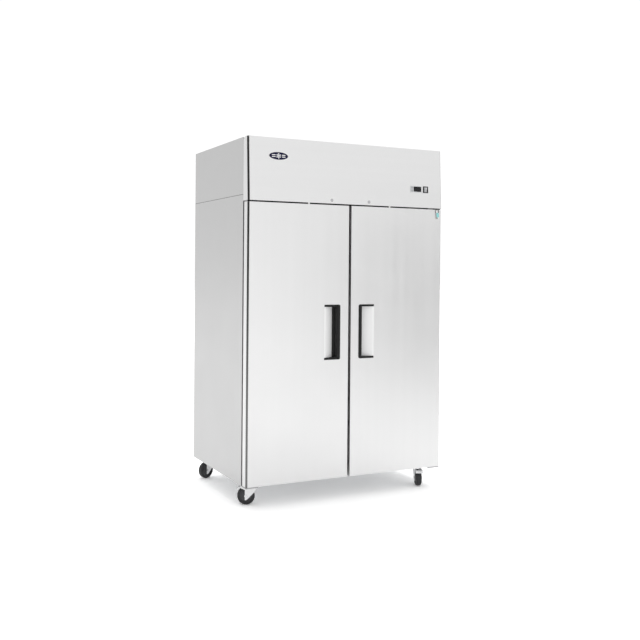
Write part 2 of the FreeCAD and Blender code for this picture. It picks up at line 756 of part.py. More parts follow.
def door_core():
    """Foam of the right door in slabs round the handle's pocket, with the lock slot and hinge bores."""
    tall = ("door_bottom + skin", "door_top - skin")
    nose = "front + skin"
    deep = (nose, "door_back - skin")
    slabs = {}
    for name, edge, inner, sign, size in (
        ("near", "door_near + skin", "pocket_near", "+", "seam_bevel"),
        ("far", "door_far - skin", "pocket_far", "-", "edge_bevel"),
    ):
        bevel = f"{size} - 0.4*skin"
        plan = [
            (edge, deep[1]), (edge, f"{nose} + {bevel}"), (f"{edge} {sign} ({bevel})", nose),
            (inner, nose), (inner, deep[1]),
        ]
        slabs[name] = prism(f"core_{name}", "XY_Plane", plan, tall)
    low = block("core_low", ("pocket_near", "pocket_far"), deep, (tall[0], "pocket_low"))
    high = block("core_high", ("pocket_near", "pocket_far"), deep, ("pocket_high", tall[1]))
    rear = block("core_rear", ("pocket_near", "pocket_far"), ("recess_back + 1", "door_back - skin"),
                 ("pocket_low", "pocket_high"))
    bored = cut("core_far_bored", slabs["far"], hinge_bores("core_bore", "hinge_pin + fit_gap"))
    slotted = cut("core_high_slotted", high, [lock_slot("core_slot")])
    return group("door_right_core_raw", [slabs["near"], bored, low, slotted, rear])


def door_liner():
    """Inner sheet of the right door with a raised centre."""
    plate = block(
        "liner_plate", ("door_near + skin", "door_far - skin"), ("door_back - skin", "door_back"),
        ("door_bottom + skin", "door_top - skin"),
    )
    raised = block(
        "liner_raised", ("door_near + plug_inset", "hinge_x - plug_inset"),
        ("door_back - skin", "door_back + plug_deep"),
        ("door_bottom + plug_rise", "door_top - plug_rise"),
    )
    hollow = block("liner_hollow", ("door_near + plug_inset + skin", "hinge_x - plug_inset - skin"),
                   ("door_back - 5", "door_back + plug_deep - skin"),
                   ("door_bottom + plug_rise + skin", "door_top - plug_rise - skin"))
    return cut("door_right_liner_raw", fuse("liner_blank", [plate, raised]), [hollow])


def gasket():
    """Magnetic gasket of the right door: four lengths of profile that meet at the corners."""
    y = ("door_back", "face_plate - gasket_air")
    tall = ("gasket_low", "gasket_high")
    between = ("gasket_near + gasket_wide", "gasket_far - gasket_wide")
    bars = [block("gasket_bar_near", ("gasket_near", "gasket_near + gasket_wide"), y, tall),
            block("gasket_bar_far", ("gasket_far - gasket_wide", "gasket_far"), y, tall),
            block("gasket_bar_low", between, y, ("gasket_low", "gasket_low + gasket_wide")),
            block("gasket_bar_high", between, y, ("gasket_high - gasket_wide", "gasket_high"))]
    return group("door_right_gasket_raw", bars)


def handle_frame():
    """Black C-shaped frame of the right door: the grip beside the centre gap and an arm at each end."""
    grip = "handle_near + grip_wide"
    proud = "front - handle_proud"
    points = [
        ("handle_near", "front"), ("handle_near + 3", proud), (f"{grip} - 3", proud), (grip, "front"),
        (grip, "recess_back - 8"), (f"{grip} + 10", "recess_back - 2"), (f"{grip} + 10", "recess_back"),
        ("handle_near", "recess_back"),
    ]
    bar = prism("grip_bar", "XY_Plane", points, ("handle_low", "handle_high"))
    arms = []
    for name, z in (
        ("low", ("handle_low", "handle_low + arm_thick")),
        ("high", ("handle_high - arm_thick", "handle_high")),
    ):
        side = [
            (f"{grip} - 5", "front - 1.5"), ("handle_far - 2", "front - 1.5"), ("handle_far", "front"),
            ("handle_far", "front + 6"), (f"{grip} + 10", "recess_back"),
            (f"{grip} - 5", "recess_back"),
        ]
        arms.append(prism(f"grip_arm_{name}", "XY_Plane", side, z))
    return cut("door_right_frame_raw", fuse("frame_square", [bar] + arms), handle_corners("frame", "0"))


def handle_scoop():
    """Sloped sheet of the right door's recess, from under the grip out to the door's face."""
    foot = "handle_near + grip_wide + 10"
    points = [
        (foot, "recess_back - 1"), ("handle_far - 6", "front"), ("handle_far", "front"),
        ("handle_far", "front + 1"), ("handle_far - 5", "front + 1.5"), (foot, "recess_back"),
    ]
    return prism(
        "door_right_scoop_raw", "XY_Plane", points,
        ("handle_low + arm_thick", "handle_high - arm_thick"),
    )


def doors():
    """Both doors. The right one also has a wire hook on its top edge for the spare keys."""
    makers = {"core": door_core, "liner": door_liner, "gasket": gasket, "handle_frame": handle_frame,
              "handle_scoop": handle_scoop}
    skin = door_skin()
    reach = rod(
        "hook_rod", "y", "0.8", ("header_front + 0.4", "front + 9"), x="hinge_x - 15",
        z="door_top + hook_rise",
    )
    foot = block(
        "hook_foot", ("hinge_x - 19", "hinge_x - 11"), ("front + 3", "front + 10"),
        ("door_top", "door_top + hook_rise"),
    )
    node("door_left_skin", mirror("door_left_skin", skin))
    node("door_right_skin", fuse("door_right_skin", [skin, reach, foot]))
    for name, make in makers.items():
        right = make()
        node(f"door_right_{name}", right)
        node(f"door_left_{name}", mirror(f"door_left_{name}", right))


def spare_keys():
    """A split ring with two keys and a tag, hanging from the hook in front of the right door."""
    x, y = "hinge_x - 15", "header_front + 1.8"
    hang = "door_top + hook_rise"
    ring = doc.addObject("Part::Torus", "ring")
    ring.Placement = FreeCAD.Placement(FreeCAD.Vector(), TURN["y"])
    bind(
        ring, Radius1="13", Radius2="0.9", Placement__Base__x=x, Placement__Base__y=y,
        Placement__Base__z=f"{hang} - 11",
    )
    bow = [("-8", "-25"), ("1", "-25"), ("1", "-36"), ("-2", "-39")]
    blade = [("-2", "-58"), ("-5", "-58"), ("-5", "-39"), ("-8", "-36")]
    card = [("-4", "-26"), ("12", "-26"), ("12", "-50"), ("-4", "-50")]
    key_side, tag_side = (
        [(f"{x} + ({u})", f"{hang} + ({v})") for u, v in points]
        for points in (bow + blade, card)
    )
    key = prism("key", "XZ_Plane", key_side, (f"{y} + 0.2", f"{y} + 1.4"))
    tag = prism("tag", "XZ_Plane", tag_side, (f"{y} - 1.2", f"{y}"))
    node("spare_keys", group("spare_keys", [ring, key, tag]))


def door_hinges():
    """Top and bottom hinge brackets, each with the pin that the door turns on."""
    leaf = block("top_leaf", ("hinge_x - 35", "half - 5"), ("front + 12", "face"),
                 ("door_top + 2.4", "door_top + 6.4"))
    wall_leaf = block("top_wall_leaf", ("hinge_x - 35", "half - 5"), ("face - 3", "face"),
                      ("door_top + 2.4", "door_top + 36"))
    top_pin = rod(
        "top_pin", "z", "hinge_pin", ("door_top - 25", "door_top + 2.4"), x="hinge_x", y="hinge_y",
    )
    collar = rod("top_collar", "z", "hinge_pin + 3", ("door_top + 0.9", "door_top + 2.4"),
                 x="hinge_x", y="hinge_y")
    low_z = ("caster_height - 5", "caster_height")
    shelf = block("low_leaf", ("hinge_x - 60", "half - 2"), ("front + 4", "face - 8"), low_z)
    tab = block("low_tab", ("swivel_x + 52", "half - 2"), ("face - 8", "face + 90"), low_z)
    low_pin = rod(
        "low_pin", "z", "hinge_pin", ("caster_height", "door_bottom + 25"), x="hinge_x", y="hinge_y",
    )
    washer = rod(
        "low_washer", "z", "hinge_pin + 4", ("caster_height", "door_bottom - 0.2"), x="hinge_x",
        y="hinge_y",
    )
    pieces = [
        fuse("top_bracket", [leaf, wall_leaf, collar, top_pin]),
        fuse("low_bracket", [shelf, tab, washer, low_pin]),
    ]
    node(
        "door_hinges",
        group("door_hinges", pieces + [mirror("hinges_left", group("hinges_right", pieces))]),
    )


# ---- header --------------------------------------------------------------------------------------

def tilt(thing, x, z):
    """Set a piece made about its own origin onto the header's tilted face, z above its bottom edge."""
    back = FreeCAD.Rotation(FreeCAD.Vector(1, 0, 0), -value("header_tilt"))
    thing.Placement = FreeCAD.Placement(FreeCAD.Vector(), back)
    return bind(
        thing, Placement__Base__x=x, Placement__Base__y=f"header_front + ({z})*tan(header_tilt*1deg)",
        Placement__Base__z=f"header_bottom + {z}",
    )


def header_solid(name, inset, rear, z):
    """The header's outline inset by a sheet's thickness: a front that leans back, both its ends beveled."""
    profile = []
    for height in z:
        lean = f"(({height}) - header_bottom)*tan(header_tilt*1deg)"
        profile.append((f"header_front + {inset} + {lean}", height))
    low, high = z
    profile += [(rear, high), (rear, low)]
    blank = prism(name + "_blank", "YZ_Plane", profile, (f"{inset} - half", f"half - {inset}"))
    bevel = f"edge_bevel + {inset}*sqrt(2)"
    wedge = [(f"-1 - ({bevel})", "-1"), ("1", f"1 + {bevel}"), ("1", "-1")]
    corner = tilt(prism(name + "_corner", "XY_Plane", wedge, ("-20", "header_high + 20")), "half", "0")
    return cut(name, blank, [corner, mirror(name + "_corner_left", corner)])


def header_openings():
    """The holes in the header: open bottom and top, corner notch, controller, switch and locks."""
    across = ("-half - 1", "half + 1")
    through = ("header_front - 5", "header_front + 20")
    middle = "header_bottom + control_z"
    mouth = block(
        "header_mouth", ("4 - half", "half - 4"), ("header_front + skin + header_lip", "face + 5"),
        ("header_bottom - 5", "header_bottom + 5"),
    )
    top_mouth = block(
        "header_top_mouth", across, ("-header_axis_y - 4", "face + 5"), ("height - 5", "height + 5"),
    )
    shoulder = "face - 1 - header_notch"
    corner = [
        ("face + 5", "height - header_notch"), ("face - 1", "height - header_notch"),
        (shoulder, "height"), (shoulder, "height + 5"), ("face + 5", "height + 5"),
    ]
    notch = prism("header_corner", "YZ_Plane", corner, across)
    control = block(
        "control_hole", ("control_x - 36", "control_x + 36"), through,
        (f"{middle} - 15", f"{middle} + 15"),
    )
    switch = block("switch_hole", ("switch_x - 15.5", "switch_x + 15.5"), through,
                   (f"{middle} - 18.5", f"{middle} + 18.5"))
    locks = [
        rod(
            f"lock_hole_{index}", "y", "lock_radius + 0.15", ("header_front - 5", "header_front + 10"),
            x=f"{side}*lock_x", z="lock_z",
        )
        for index, side in enumerate((-1, 1))
    ]
    return [mouth, top_mouth, notch, control, switch] + locks


def header_panel():
    """Folded front panel of the machine bay: front sheet, two lips, two ends and two hinge ears."""
    outside = header_solid(
        "header_outside", "0", "header_front + header_return + 17.5", ("header_bottom", "height"),
    )
    inside = header_solid("header_inside", "skin", "header_front + header_return + 30",
                          ("header_bottom + skin", "height - skin"))
    shell = cut("header_shell", outside, [fuse("header_hollow", [inside] + header_openings())])
    depth = ("header_front - 1", "face + 5")
    between = ("header_end - half", "half - header_end")
    tall = ("header_bottom", "height")
    pieces = [
        section("header_left_end", shell, ("-half", "header_end - half"), depth, tall),
        section("header_right_end", shell, ("half - header_end", "half"), depth, tall),
        section("header_low_lip", shell, between, depth, ("header_bottom", "header_bottom + skin")),
        section("header_front_sheet", shell, between, depth, ("header_bottom + skin", "height - skin")),
        section("header_high_lip", shell, between, depth, ("height - skin", "height")),
    ]
    for index, side in enumerate((-1, 1)):
        ear = block(
            f"ear_{index}", (f"{side}*ear_x - 1.5", f"{side}*ear_x + 1.5"),
            ("-header_axis_y - 12", "-header_axis_y + 5"), ("header_axis_z - 6", "height - skin"),
        )
        hole = rod(
            f"ear_hole_{index}", "x", "header_pin + fit_gap",
            (f"{side}*ear_x - 5", f"{side}*ear_x + 5"), y="-header_axis_y", z="header_axis_z",
        )
        pieces.append(cut(f"ear_cut_{index}", ear, [hole]))
    node("header_panel", group("header_panel", pieces))


def badge():
    """A plain oval badge."""
    oval = doc.addObject("Part::Ellipse", "badge_oval")
    bind(oval, MajorRadius="badge_long", MinorRadius="badge_high")
    oval.Placement = FreeCAD.Placement(FreeCAD.Vector(), FreeCAD.Rotation(FreeCAD.Vector(1, 0, 0), 90))
    plate = doc.addObject("Part::Extrusion", "badge_solid")
    plate.Base = oval
    plate.Dir = FreeCAD.Vector(0, -1, 0)
    plate.LengthFwd = 2
    plate.Solid = True
    node("badge", tilt(group("badge_plate", [plate]), "-badge_x", "badge_z"))


def controller():
    """Temperature controller: bezel, body behind the panel, window, and two push buttons."""
    bezel = block(
        "control_bezel", ("-control_wide/2", "control_wide/2"), ("-2.5", "0"),
        ("-control_high/2", "control_high/2"),
    )
    body = block("control_body", ("-35", "35"), ("0", "50"), ("-14", "14"))
    window_hole = block("window_hole", ("-17", "36"), ("-3", "-1"), ("-13", "13"))
    wells = [
        block(
            f"button_well_{index}", ("-34.2", "-20.8"), ("-3", "4"),
            (f"{side}*button_rise - 6.2", f"{side}*button_rise + 6.2"),
        )
        for index, side in enumerate((-1, 1))
    ]
    housing = cut("control_housing", fuse("control_blank", [bezel, body]), [window_hole] + wells)
    window = block("control_window", ("-17", "36"), ("-2", "-1"), ("-13", "13"))
    node("controller", tilt(group("controller", [housing, window]), "control_x", "control_z"))
    for name, side in (("down", -1), ("up", 1)):
        cap = block(
            f"button_{name}_cap", ("-34", "-21"), ("-3.8", "1.5"),
            (f"{side}*button_rise - 6", f"{side}*button_rise + 6"),
        )
        node(f"button_{name}", tilt(group(f"button_{name}", [cap]), "control_x", "control_z"))


def rocker_switch():
    """Power switch: bezel with its well, and the rocker that tips in it."""
    bezel = block("rocker_plate", ("-18", "18"), ("-2.5", "0"), ("-20", "20"))
    well = block("rocker_well", ("-15", "15"), ("0", "26"), ("-18", "18"))
    space = block("rocker_space", ("-11.5", "11.5"), ("-3", "18"), ("-16.5", "16.5"))
    node(
        "rocker_bezel",
        tilt(
            cut("rocker_bezel", fuse("rocker_blank", [bezel, well]), [space]), "switch_x", "control_z",
        ),
    )
    points = [("-1.2", "15"), ("0.6", "0"), ("-1.2", "-15"), ("10", "-12"), ("10", "12")]
    pin = rod("rocker_pin", "x", "1.5", ("-11.4", "11.4"), y="5", z="0")
    tipped = fuse("rocker_tipped", [prism("rocker_body", "YZ_Plane", points, ("-11", "11")), pin])
    pivot = FreeCAD.Vector(0, 5, 0)
    swing = FreeCAD.Rotation(FreeCAD.Vector(1, 0, 0), 7)
    tipped.Placement = FreeCAD.Placement(pivot - swing.multVec(pivot), swing)
    node("rocker", tilt(group("rocker_group", [tipped]), "switch_x", "control_z"))


def locks():
    """Two lock barrels in the header, and the plugs whose cams turn down behind each door's top edge."""
    barrels = []
    for side, name, toward in ((-1, "left", -1), (1, "right", 1)):
        profile = [
            ("plug_radius + fit_gap", "0.2"), ("lock_radius", "0.2"), ("lock_radius", "2.55"),
            ("12", "2.55"), ("12", "6"), ("lock_radius - 2.2", "6"), ("lock_radius - 2.2", "26"),
            ("plug_radius + fit_gap", "26"),
        ]
        barrel = turned(
            f"barrel_{name}", profile, axis="y", x=f"{side}*lock_x", y="header_front", z="lock_z",
        )
        barrels.append(barrel)
        cam = ("lock_cam_y", "lock_cam_y + 3")
        plug = rod(
            f"plug_{name}", "y", "plug_radius", ("header_front + 0.5", cam[1]), x=f"{side}*lock_x",
            z="lock_z",
        )
        slot = block(f"keyway_{name}", (f"{side}*lock_x - 0.6", f"{side}*lock_x + 0.6"),
                     ("header_front", "header_front + 6"), ("lock_z - 4", "lock_z + 4"))
        near, far = (f"{side}*lock_x", f"{side}*lock_x + {toward}*(cam_reach - cam_wide/2)")
        ends = (near, far) if toward > 0 else (far, near)
        arm = block(f"cam_arm_{name}", ends, cam, ("lock_z - cam_wide/2", "lock_z + cam_wide/2"))
        tip = rod(f"cam_tip_{name}", "y", "cam_wide/2", cam, x=far, z="lock_z")
        boss = rod(f"cam_boss_{name}", "y", "cam_wide/2", cam, x=near, z="lock_z")
        turning = cut(f"plug_cut_{name}", plug, [slot])
        node(f"lock_plug_{name}", fuse(f"lock_plug_{name}", [turning, arm, tip, boss]))
    node("lock_barrels", group("lock_barrels", barrels))


# ---- casters -------------------------------------------------------------------------------------

# name, side, row, direction that the wheel trails in degrees from +X, whether it has a brake
CASTERS = (
    ("left_front", "-swivel_x", "swivel_front", 156, True),
    ("right_front", "swivel_x", "swivel_front", 244, True),
    ("left_rear", "-swivel_x", "swivel_back", 198, False),
    ("right_rear", "swivel_x", "swivel_back", 323, False),
)


def steer(thing, x, y, angle):
    """Turn a piece made with its trail along +X about the swivel, and set it in place."""
    thing.Placement = FreeCAD.Placement(
        FreeCAD.Vector(), FreeCAD.Rotation(FreeCAD.Vector(0, 0, 1), angle),
    )
    return bind(thing, Placement__Base__x=x, Placement__Base__y=y)


def caster_fork(name, brake):
    """Fork with its swivel race, kingpin, two legs and axle; a braked one has ears for the pedal's pin."""
    crown = rod(f"crown_{name}", "z", "race_radius", ("fork_top", "caster_height - 12.3"), x="0", y="0")
    kingpin = rod(f"kingpin_{name}", "z", "kingpin", ("fork_top", "caster_height - 3"), x="0", y="0")
    outside = "leg_gap/2 + leg_thick"
    bridge = block(
        f"bridge_{name}", ("-leg_reach", "24"), (f"-({outside})", outside),
        ("fork_top - 3", "fork_top"),
    )
    axle = rod(
        f"axle_{name}", "y", "axle_radius", ("-leg_gap/2 - 6", "leg_gap/2 + 6"), x="trail",
        z="wheel_radius",
    )
    ear = [("66", "fork_top - 12"), ("66", "fork_top - 2")] if brake else [("36", "fork_top - 14")]
    slope = [
        ("-leg_reach", "fork_top - 19"), ("trail - 45", "leg_low + 44"), ("trail - 8", "leg_low + 6"),
    ]
    foot = [("trail", "leg_low"), ("trail + 7", "leg_low"), ("trail + 7", "fork_top - 21")]
    side = [("-leg_reach", "fork_top")] + slope + foot + ear + [("24", "fork_top")]
    pieces = [crown, kingpin, bridge, axle]
    for index, y in enumerate(
        (("-leg_gap/2 - leg_thick", "-leg_gap/2"), ("leg_gap/2", "leg_gap/2 + leg_thick"))
    ):
        pieces.append(prism(f"leg_{name}_{index}", "XZ_Plane", side, y))
    if brake:
        pieces.append(
            rod(
                f"pedal_pin_{name}", "y", "pedal_pin", ("-leg_gap/2 - 1", "leg_gap/2 + 1"), x="pedal_x",
                z="pedal_z",
            )
        )
    return fuse(f"fork_{name}", pieces)


def caster_wheel(name):
    """Wheel with rounded tread, dished web and hub, bored for the axle."""
    half = "wheel_wide/2"
    rim = "wheel_radius"
    points = [
        ("axle_radius + fit_gap", "-leg_gap/2 + 0.5"), ("14", "-leg_gap/2 + 0.5"),
        ("14", f"-{half} + 5"), (f"{rim} - 16", f"-{half} + 5"), (f"{rim} - 14", f"-{half}"),
        (f"{rim} - 4", f"-{half}"), (f"{rim} - 0.8", f"-{half} + 4"), (rim, f"-{half} + 9"),
        (rim, f"{half} - 9"), (f"{rim} - 0.8", f"{half} - 4"), (f"{rim} - 4", half),
        (f"{rim} - 14", half), (f"{rim} - 16", f"{half} - 5"), ("14", f"{half} - 5"),
        ("14", "leg_gap/2 - 0.5"), ("axle_radius + fit_gap", "leg_gap/2 - 0.5"),
    ]
    body = turned(f"tread_{name}", points, axis="y", x="trail", z="wheel_radius")
    return group(f"wheel_{name}", [body])


def brake_pedal(name):
    """Pedal that turns on a pin between the fork's ears and presses towards the wheel."""
    barrel = rod(f"pedal_barrel_{name}", "y", "4.5", ("-16.5", "16.5"), x="pedal_x", z="pedal_z")
    neck_side = [
        ("pedal_x", "pedal_z + 4"), ("72", "pedal_z + 2"), ("72", "pedal_z - 2"),
        ("pedal_x", "pedal_z"),
    ]
    neck = prism(f"pedal_neck_{name}", "XZ_Plane", neck_side, ("-16.5", "16.5"))
    toe_side = [
        ("70", "pedal_z + 2.4"), ("78", "pedal_z + 1"), ("87", "pedal_z - 14"), ("84", "pedal_z - 16"),
        ("76", "pedal_z - 2"), ("70", "pedal_z - 1"),
    ]
    toe = prism(f"pedal_toe_{name}", "XZ_Plane", toe_side, ("-22", "22"))
    bore = rod(
        f"pedal_bore_{name}", "y", "pedal_pin + fit_gap", ("-20", "20"), x="pedal_x", z="pedal_z",
    )
    return cut(f"pedal_{name}", fuse(f"pedal_blank_{name}", [barrel, neck, toe]), [bore])


def casters():
    plates = []
    bolts = []
    for name, x, y, angle, brake in CASTERS:
        plate = block(
            f"plate_{name}", (f"{x} - 48", f"{x} + 48"), (f"{y} - 36", f"{y} + 36"),
            ("caster_height - 4", "caster_height"),
        )
        race = rod(
            f"race_{name}", "z", "race_radius + 2", ("caster_height - 12", "caster_height - 4"), x=x,
            y=y,
        )
        hole = rod(
            f"race_hole_{name}", "z", "kingpin + fit_gap", ("caster_height - 13", "caster_height - 2"),
            x=x, y=y,
        )
        plates.append(cut(f"mount_{name}", fuse(f"mount_blank_{name}", [plate, race]), [hole]))
        for index, (sx, sy) in enumerate(((-1, -1), (1, -1), (-1, 1), (1, 1))):
            bolts.append(
                rod(
                    f"bolt_{name}_{index}", "z", "6", ("caster_height - 8", "caster_height - 4"),
                    x=f"{x} + {sx}*bolt_x", y=f"{y} + {sy}*bolt_y",
                )
            )
        node(f"caster_fork_{name}", steer(caster_fork(name, brake), x, y, angle))
        node(f"caster_wheel_{name}", steer(caster_wheel(name), x, y, angle))
        if brake:
            node(
                f"brake_pedal_{name}",
                steer(group(f"pedal_group_{name}", [brake_pedal(name)]), x, y, angle),
            )
    screws = [
        rod(
            f"hinge_screw_{index}", "y", "4", ("face - 5", "face - 3"), x=f"{side}*(hinge_x + {out})",
            z="door_top + 25",
        )
        for index, (side, out) in enumerate(((-1, -28), (-1, 8), (1, -28), (1, 8)))
    ]
    node("caster_plates", group("caster_plates", plates))
    node("fasteners", group("fasteners", bolts + screws))


def check():
    """Stop if any object failed or any sub-part has no valid solid."""
    doc.recompute()
    for thing in doc.Objects:
        if {"Invalid", "Error"} & set(thing.State):
            raise RuntimeError(f"{thing.Label}: {thing.State}")
    for thing in nodes:
        if thing.Shape.isNull() or not thing.Shape.isValid() or not thing.Shape.Solids:
            raise RuntimeError(f"{thing.Label} has no valid solid")


def write():
    os.makedirs("parts", exist_ok=True)
    for thing in nodes:
        thing.Shape.exportStep(f"parts/{thing.Label}.step")
        litres = round(thing.Shape.Volume / 1e6, 3)
        print(thing.Label, len(thing.Shape.Solids), "solids", litres, "litres", thing.Shape.BoundBox)
    print(len(nodes), "nodes")


fill_sheet()
for make in (
    side_panels, rear_panel, base_and_deck_pans, insulation, liner, front_frame, shelf_supports,
    shelves, interior_lamps, condensing_unit, fan_motors, fans, evaporator, refrigerant_lines,
    control_box, machine_bay, doors, spare_keys, door_hinges, header_panel, badge, controller,
    rocker_switch, locks, casters,
):
    make()
check()
write()
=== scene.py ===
import json
import math

import bmesh
import bpy
from mathutils import Matrix, Vector
from mathutils.geometry import tessellate_polygon


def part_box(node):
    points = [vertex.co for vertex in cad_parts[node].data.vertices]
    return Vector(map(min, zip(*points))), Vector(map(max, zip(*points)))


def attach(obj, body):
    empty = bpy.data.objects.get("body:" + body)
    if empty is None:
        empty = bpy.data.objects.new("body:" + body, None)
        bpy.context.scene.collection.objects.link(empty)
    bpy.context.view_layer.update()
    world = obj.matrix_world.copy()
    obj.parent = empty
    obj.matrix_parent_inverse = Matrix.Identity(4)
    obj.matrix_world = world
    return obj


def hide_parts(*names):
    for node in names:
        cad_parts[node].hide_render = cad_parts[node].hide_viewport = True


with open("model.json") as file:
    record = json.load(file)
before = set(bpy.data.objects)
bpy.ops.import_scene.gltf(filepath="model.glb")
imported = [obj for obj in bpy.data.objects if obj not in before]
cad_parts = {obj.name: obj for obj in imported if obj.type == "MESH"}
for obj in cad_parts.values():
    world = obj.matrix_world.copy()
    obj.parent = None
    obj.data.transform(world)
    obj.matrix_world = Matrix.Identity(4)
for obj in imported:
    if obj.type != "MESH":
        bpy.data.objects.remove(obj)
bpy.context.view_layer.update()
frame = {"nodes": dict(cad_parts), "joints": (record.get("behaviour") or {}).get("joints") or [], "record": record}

NODES = frame["nodes"]
JOINTS = {joint["name"]: joint for joint in frame["joints"]}
MM = 0.001


# ---- materials -----------------------------------------------------------------------------------

def shader(name, color, rough, metal=0.0, **sockets):
    """A Principled material with plain values set on its own sockets."""
    mat = bpy.data.materials.new(name)
    mat.use_nodes = True
    bsdf = mat.node_tree.nodes["Principled BSDF"]
    bsdf.inputs["Base Color"].default_value = (*color, 1)
    bsdf.inputs["Roughness"].default_value = rough
    bsdf.inputs["Metallic"].default_value = metal
    for socket, number in sockets.items():
        bsdf.inputs[socket.replace("_", " ")].default_value = number
    return mat


def add(mat, kind, **values):
    """A node of that kind, with its attributes and unlinked inputs set."""
    node = mat.node_tree.nodes.new(kind)
    for key, item in values.items():
        if key in node.inputs:
            node.inputs[key].default_value = item
        else:
            setattr(node, key, item)
    return node


def wire(mat, source, target):
    """A link from an output to an input."""
    mat.node_tree.links.new(source, target)


def noise(mat, scale, stretch=(1, 1, 1), detail=3.0):
    """A noise texture on the object's own coordinates, stretched along an axis for grain."""
    coords = add(mat, "ShaderNodeTexCoord")
    mapping = add(mat, "ShaderNodeMapping", Scale=stretch)
    texture = add(mat, "ShaderNodeTexNoise", Scale=scale, Detail=detail)
    wire(mat, coords.outputs["Object"], mapping.inputs["Vector"])
    wire(mat, mapping.outputs["Vector"], texture.inputs["Vector"])
    return texture.outputs["Fac"]


def spread(mat, source, low, high, source_low=0.3, source_high=0.7):
    """A factor stretched from one range to another."""
    ends = {"From Min": source_low, "From Max": source_high, "To Min": low, "To Max": high}
    ramp = add(mat, "ShaderNodeMapRange", **ends)
    wire(mat, source, ramp.inputs["Value"])
    return ramp.outputs["Result"]


def tint(mat, factor, dark, light):
    """The base colour runs between two colours with a factor."""
    mix = add(mat, "ShaderNodeMix", data_type="RGBA")
    mix.inputs[6].default_value = (*dark, 1)
    mix.inputs[7].default_value = (*light, 1)
    wire(mat, factor, mix.inputs["Factor"])
    wire(mat, mix.outputs[2], mat.node_tree.nodes["Principled BSDF"].inputs["Base Color"])


def rough(mat, factor):
    """The roughness follows a factor."""
    wire(mat, factor, mat.node_tree.nodes["Principled BSDF"].inputs["Roughness"])


def bump(mat, factor, strength):
    """A fine relief, at most a fifth of a millimetre deep."""
    node = add(mat, "ShaderNodeBump", Strength=strength, Distance=0.2 * MM)
    wire(mat, factor, node.inputs["Height"])
    wire(mat, node.outputs["Normal"], mat.node_tree.nodes["Principled BSDF"].inputs["Normal"])


# how a texture is stretched to run along an axis
GRAIN = {"x": (0.02, 1, 1), "y": (1, 0.02, 1), "z": (1, 1, 0.02)}


def brushed(name, color, low, high, grain, strength=0.12, metal=1.0, streak=0.985, **sockets):
    """Brushed sheet: fine grain along one axis, faint broad streaks and smudges in the roughness."""
    mat = shader(name, color, (low + high) / 2, metal, **sockets)
    fine = noise(mat, 900, GRAIN[grain], detail=2)
    broad = noise(mat, 26, GRAIN[grain], detail=4)
    smudge = noise(mat, 5, detail=4)
    streaks = add(mat, "ShaderNodeMix", data_type="FLOAT", Factor=0.5)
    wire(mat, broad, streaks.inputs[2])
    wire(mat, smudge, streaks.inputs[3])
    rough(mat, spread(mat, streaks.outputs[0], low, high))
    tint(mat, spread(mat, broad, 0, 1), tuple(c * streak for c in color), color)
    bump(mat, fine, strength)
    return mat


def moulded(name, color, low, high, grain_size=1400, strength=0.2, **sockets):
    """Moulded plastic or rubber: fine texture, uneven gloss and slightly varied colour."""
    mat = shader(name, color, (low + high) / 2, **sockets)
    fine = noise(mat, grain_size, detail=2)
    patches = noise(mat, 40, detail=5)
    rough(mat, spread(mat, patches, low, high))
    dark = tuple(c * 0.88 for c in color)
    light = tuple(min(1, c * 1.1) for c in color)
    tint(mat, spread(mat, patches, 0, 1), dark, light)
    bump(mat, fine, strength)
    return mat


def spangled(name, color, low, high, cell=90, dark=0.86):
    """Galvanised sheet or zinc plate: crystal patches in colour and gloss."""
    mat = shader(name, color, (low + high) / 2, 1.0)
    coords = add(mat, "ShaderNodeTexCoord")
    cells = add(mat, "ShaderNodeTexVoronoi", Scale=cell)
    wire(mat, coords.outputs["Object"], cells.inputs["Vector"])
    level = add(mat, "ShaderNodeSeparateColor")
    wire(mat, cells.outputs["Color"], level.inputs["Color"])
    rough(mat, spread(mat, level.outputs["Red"], low, high, 0, 1))
    tint(mat, spread(mat, level.outputs["Green"], 0, 1, 0, 1), tuple(c * dark for c in color), color)
    bump(mat, noise(mat, 500), 0.08)
    return mat


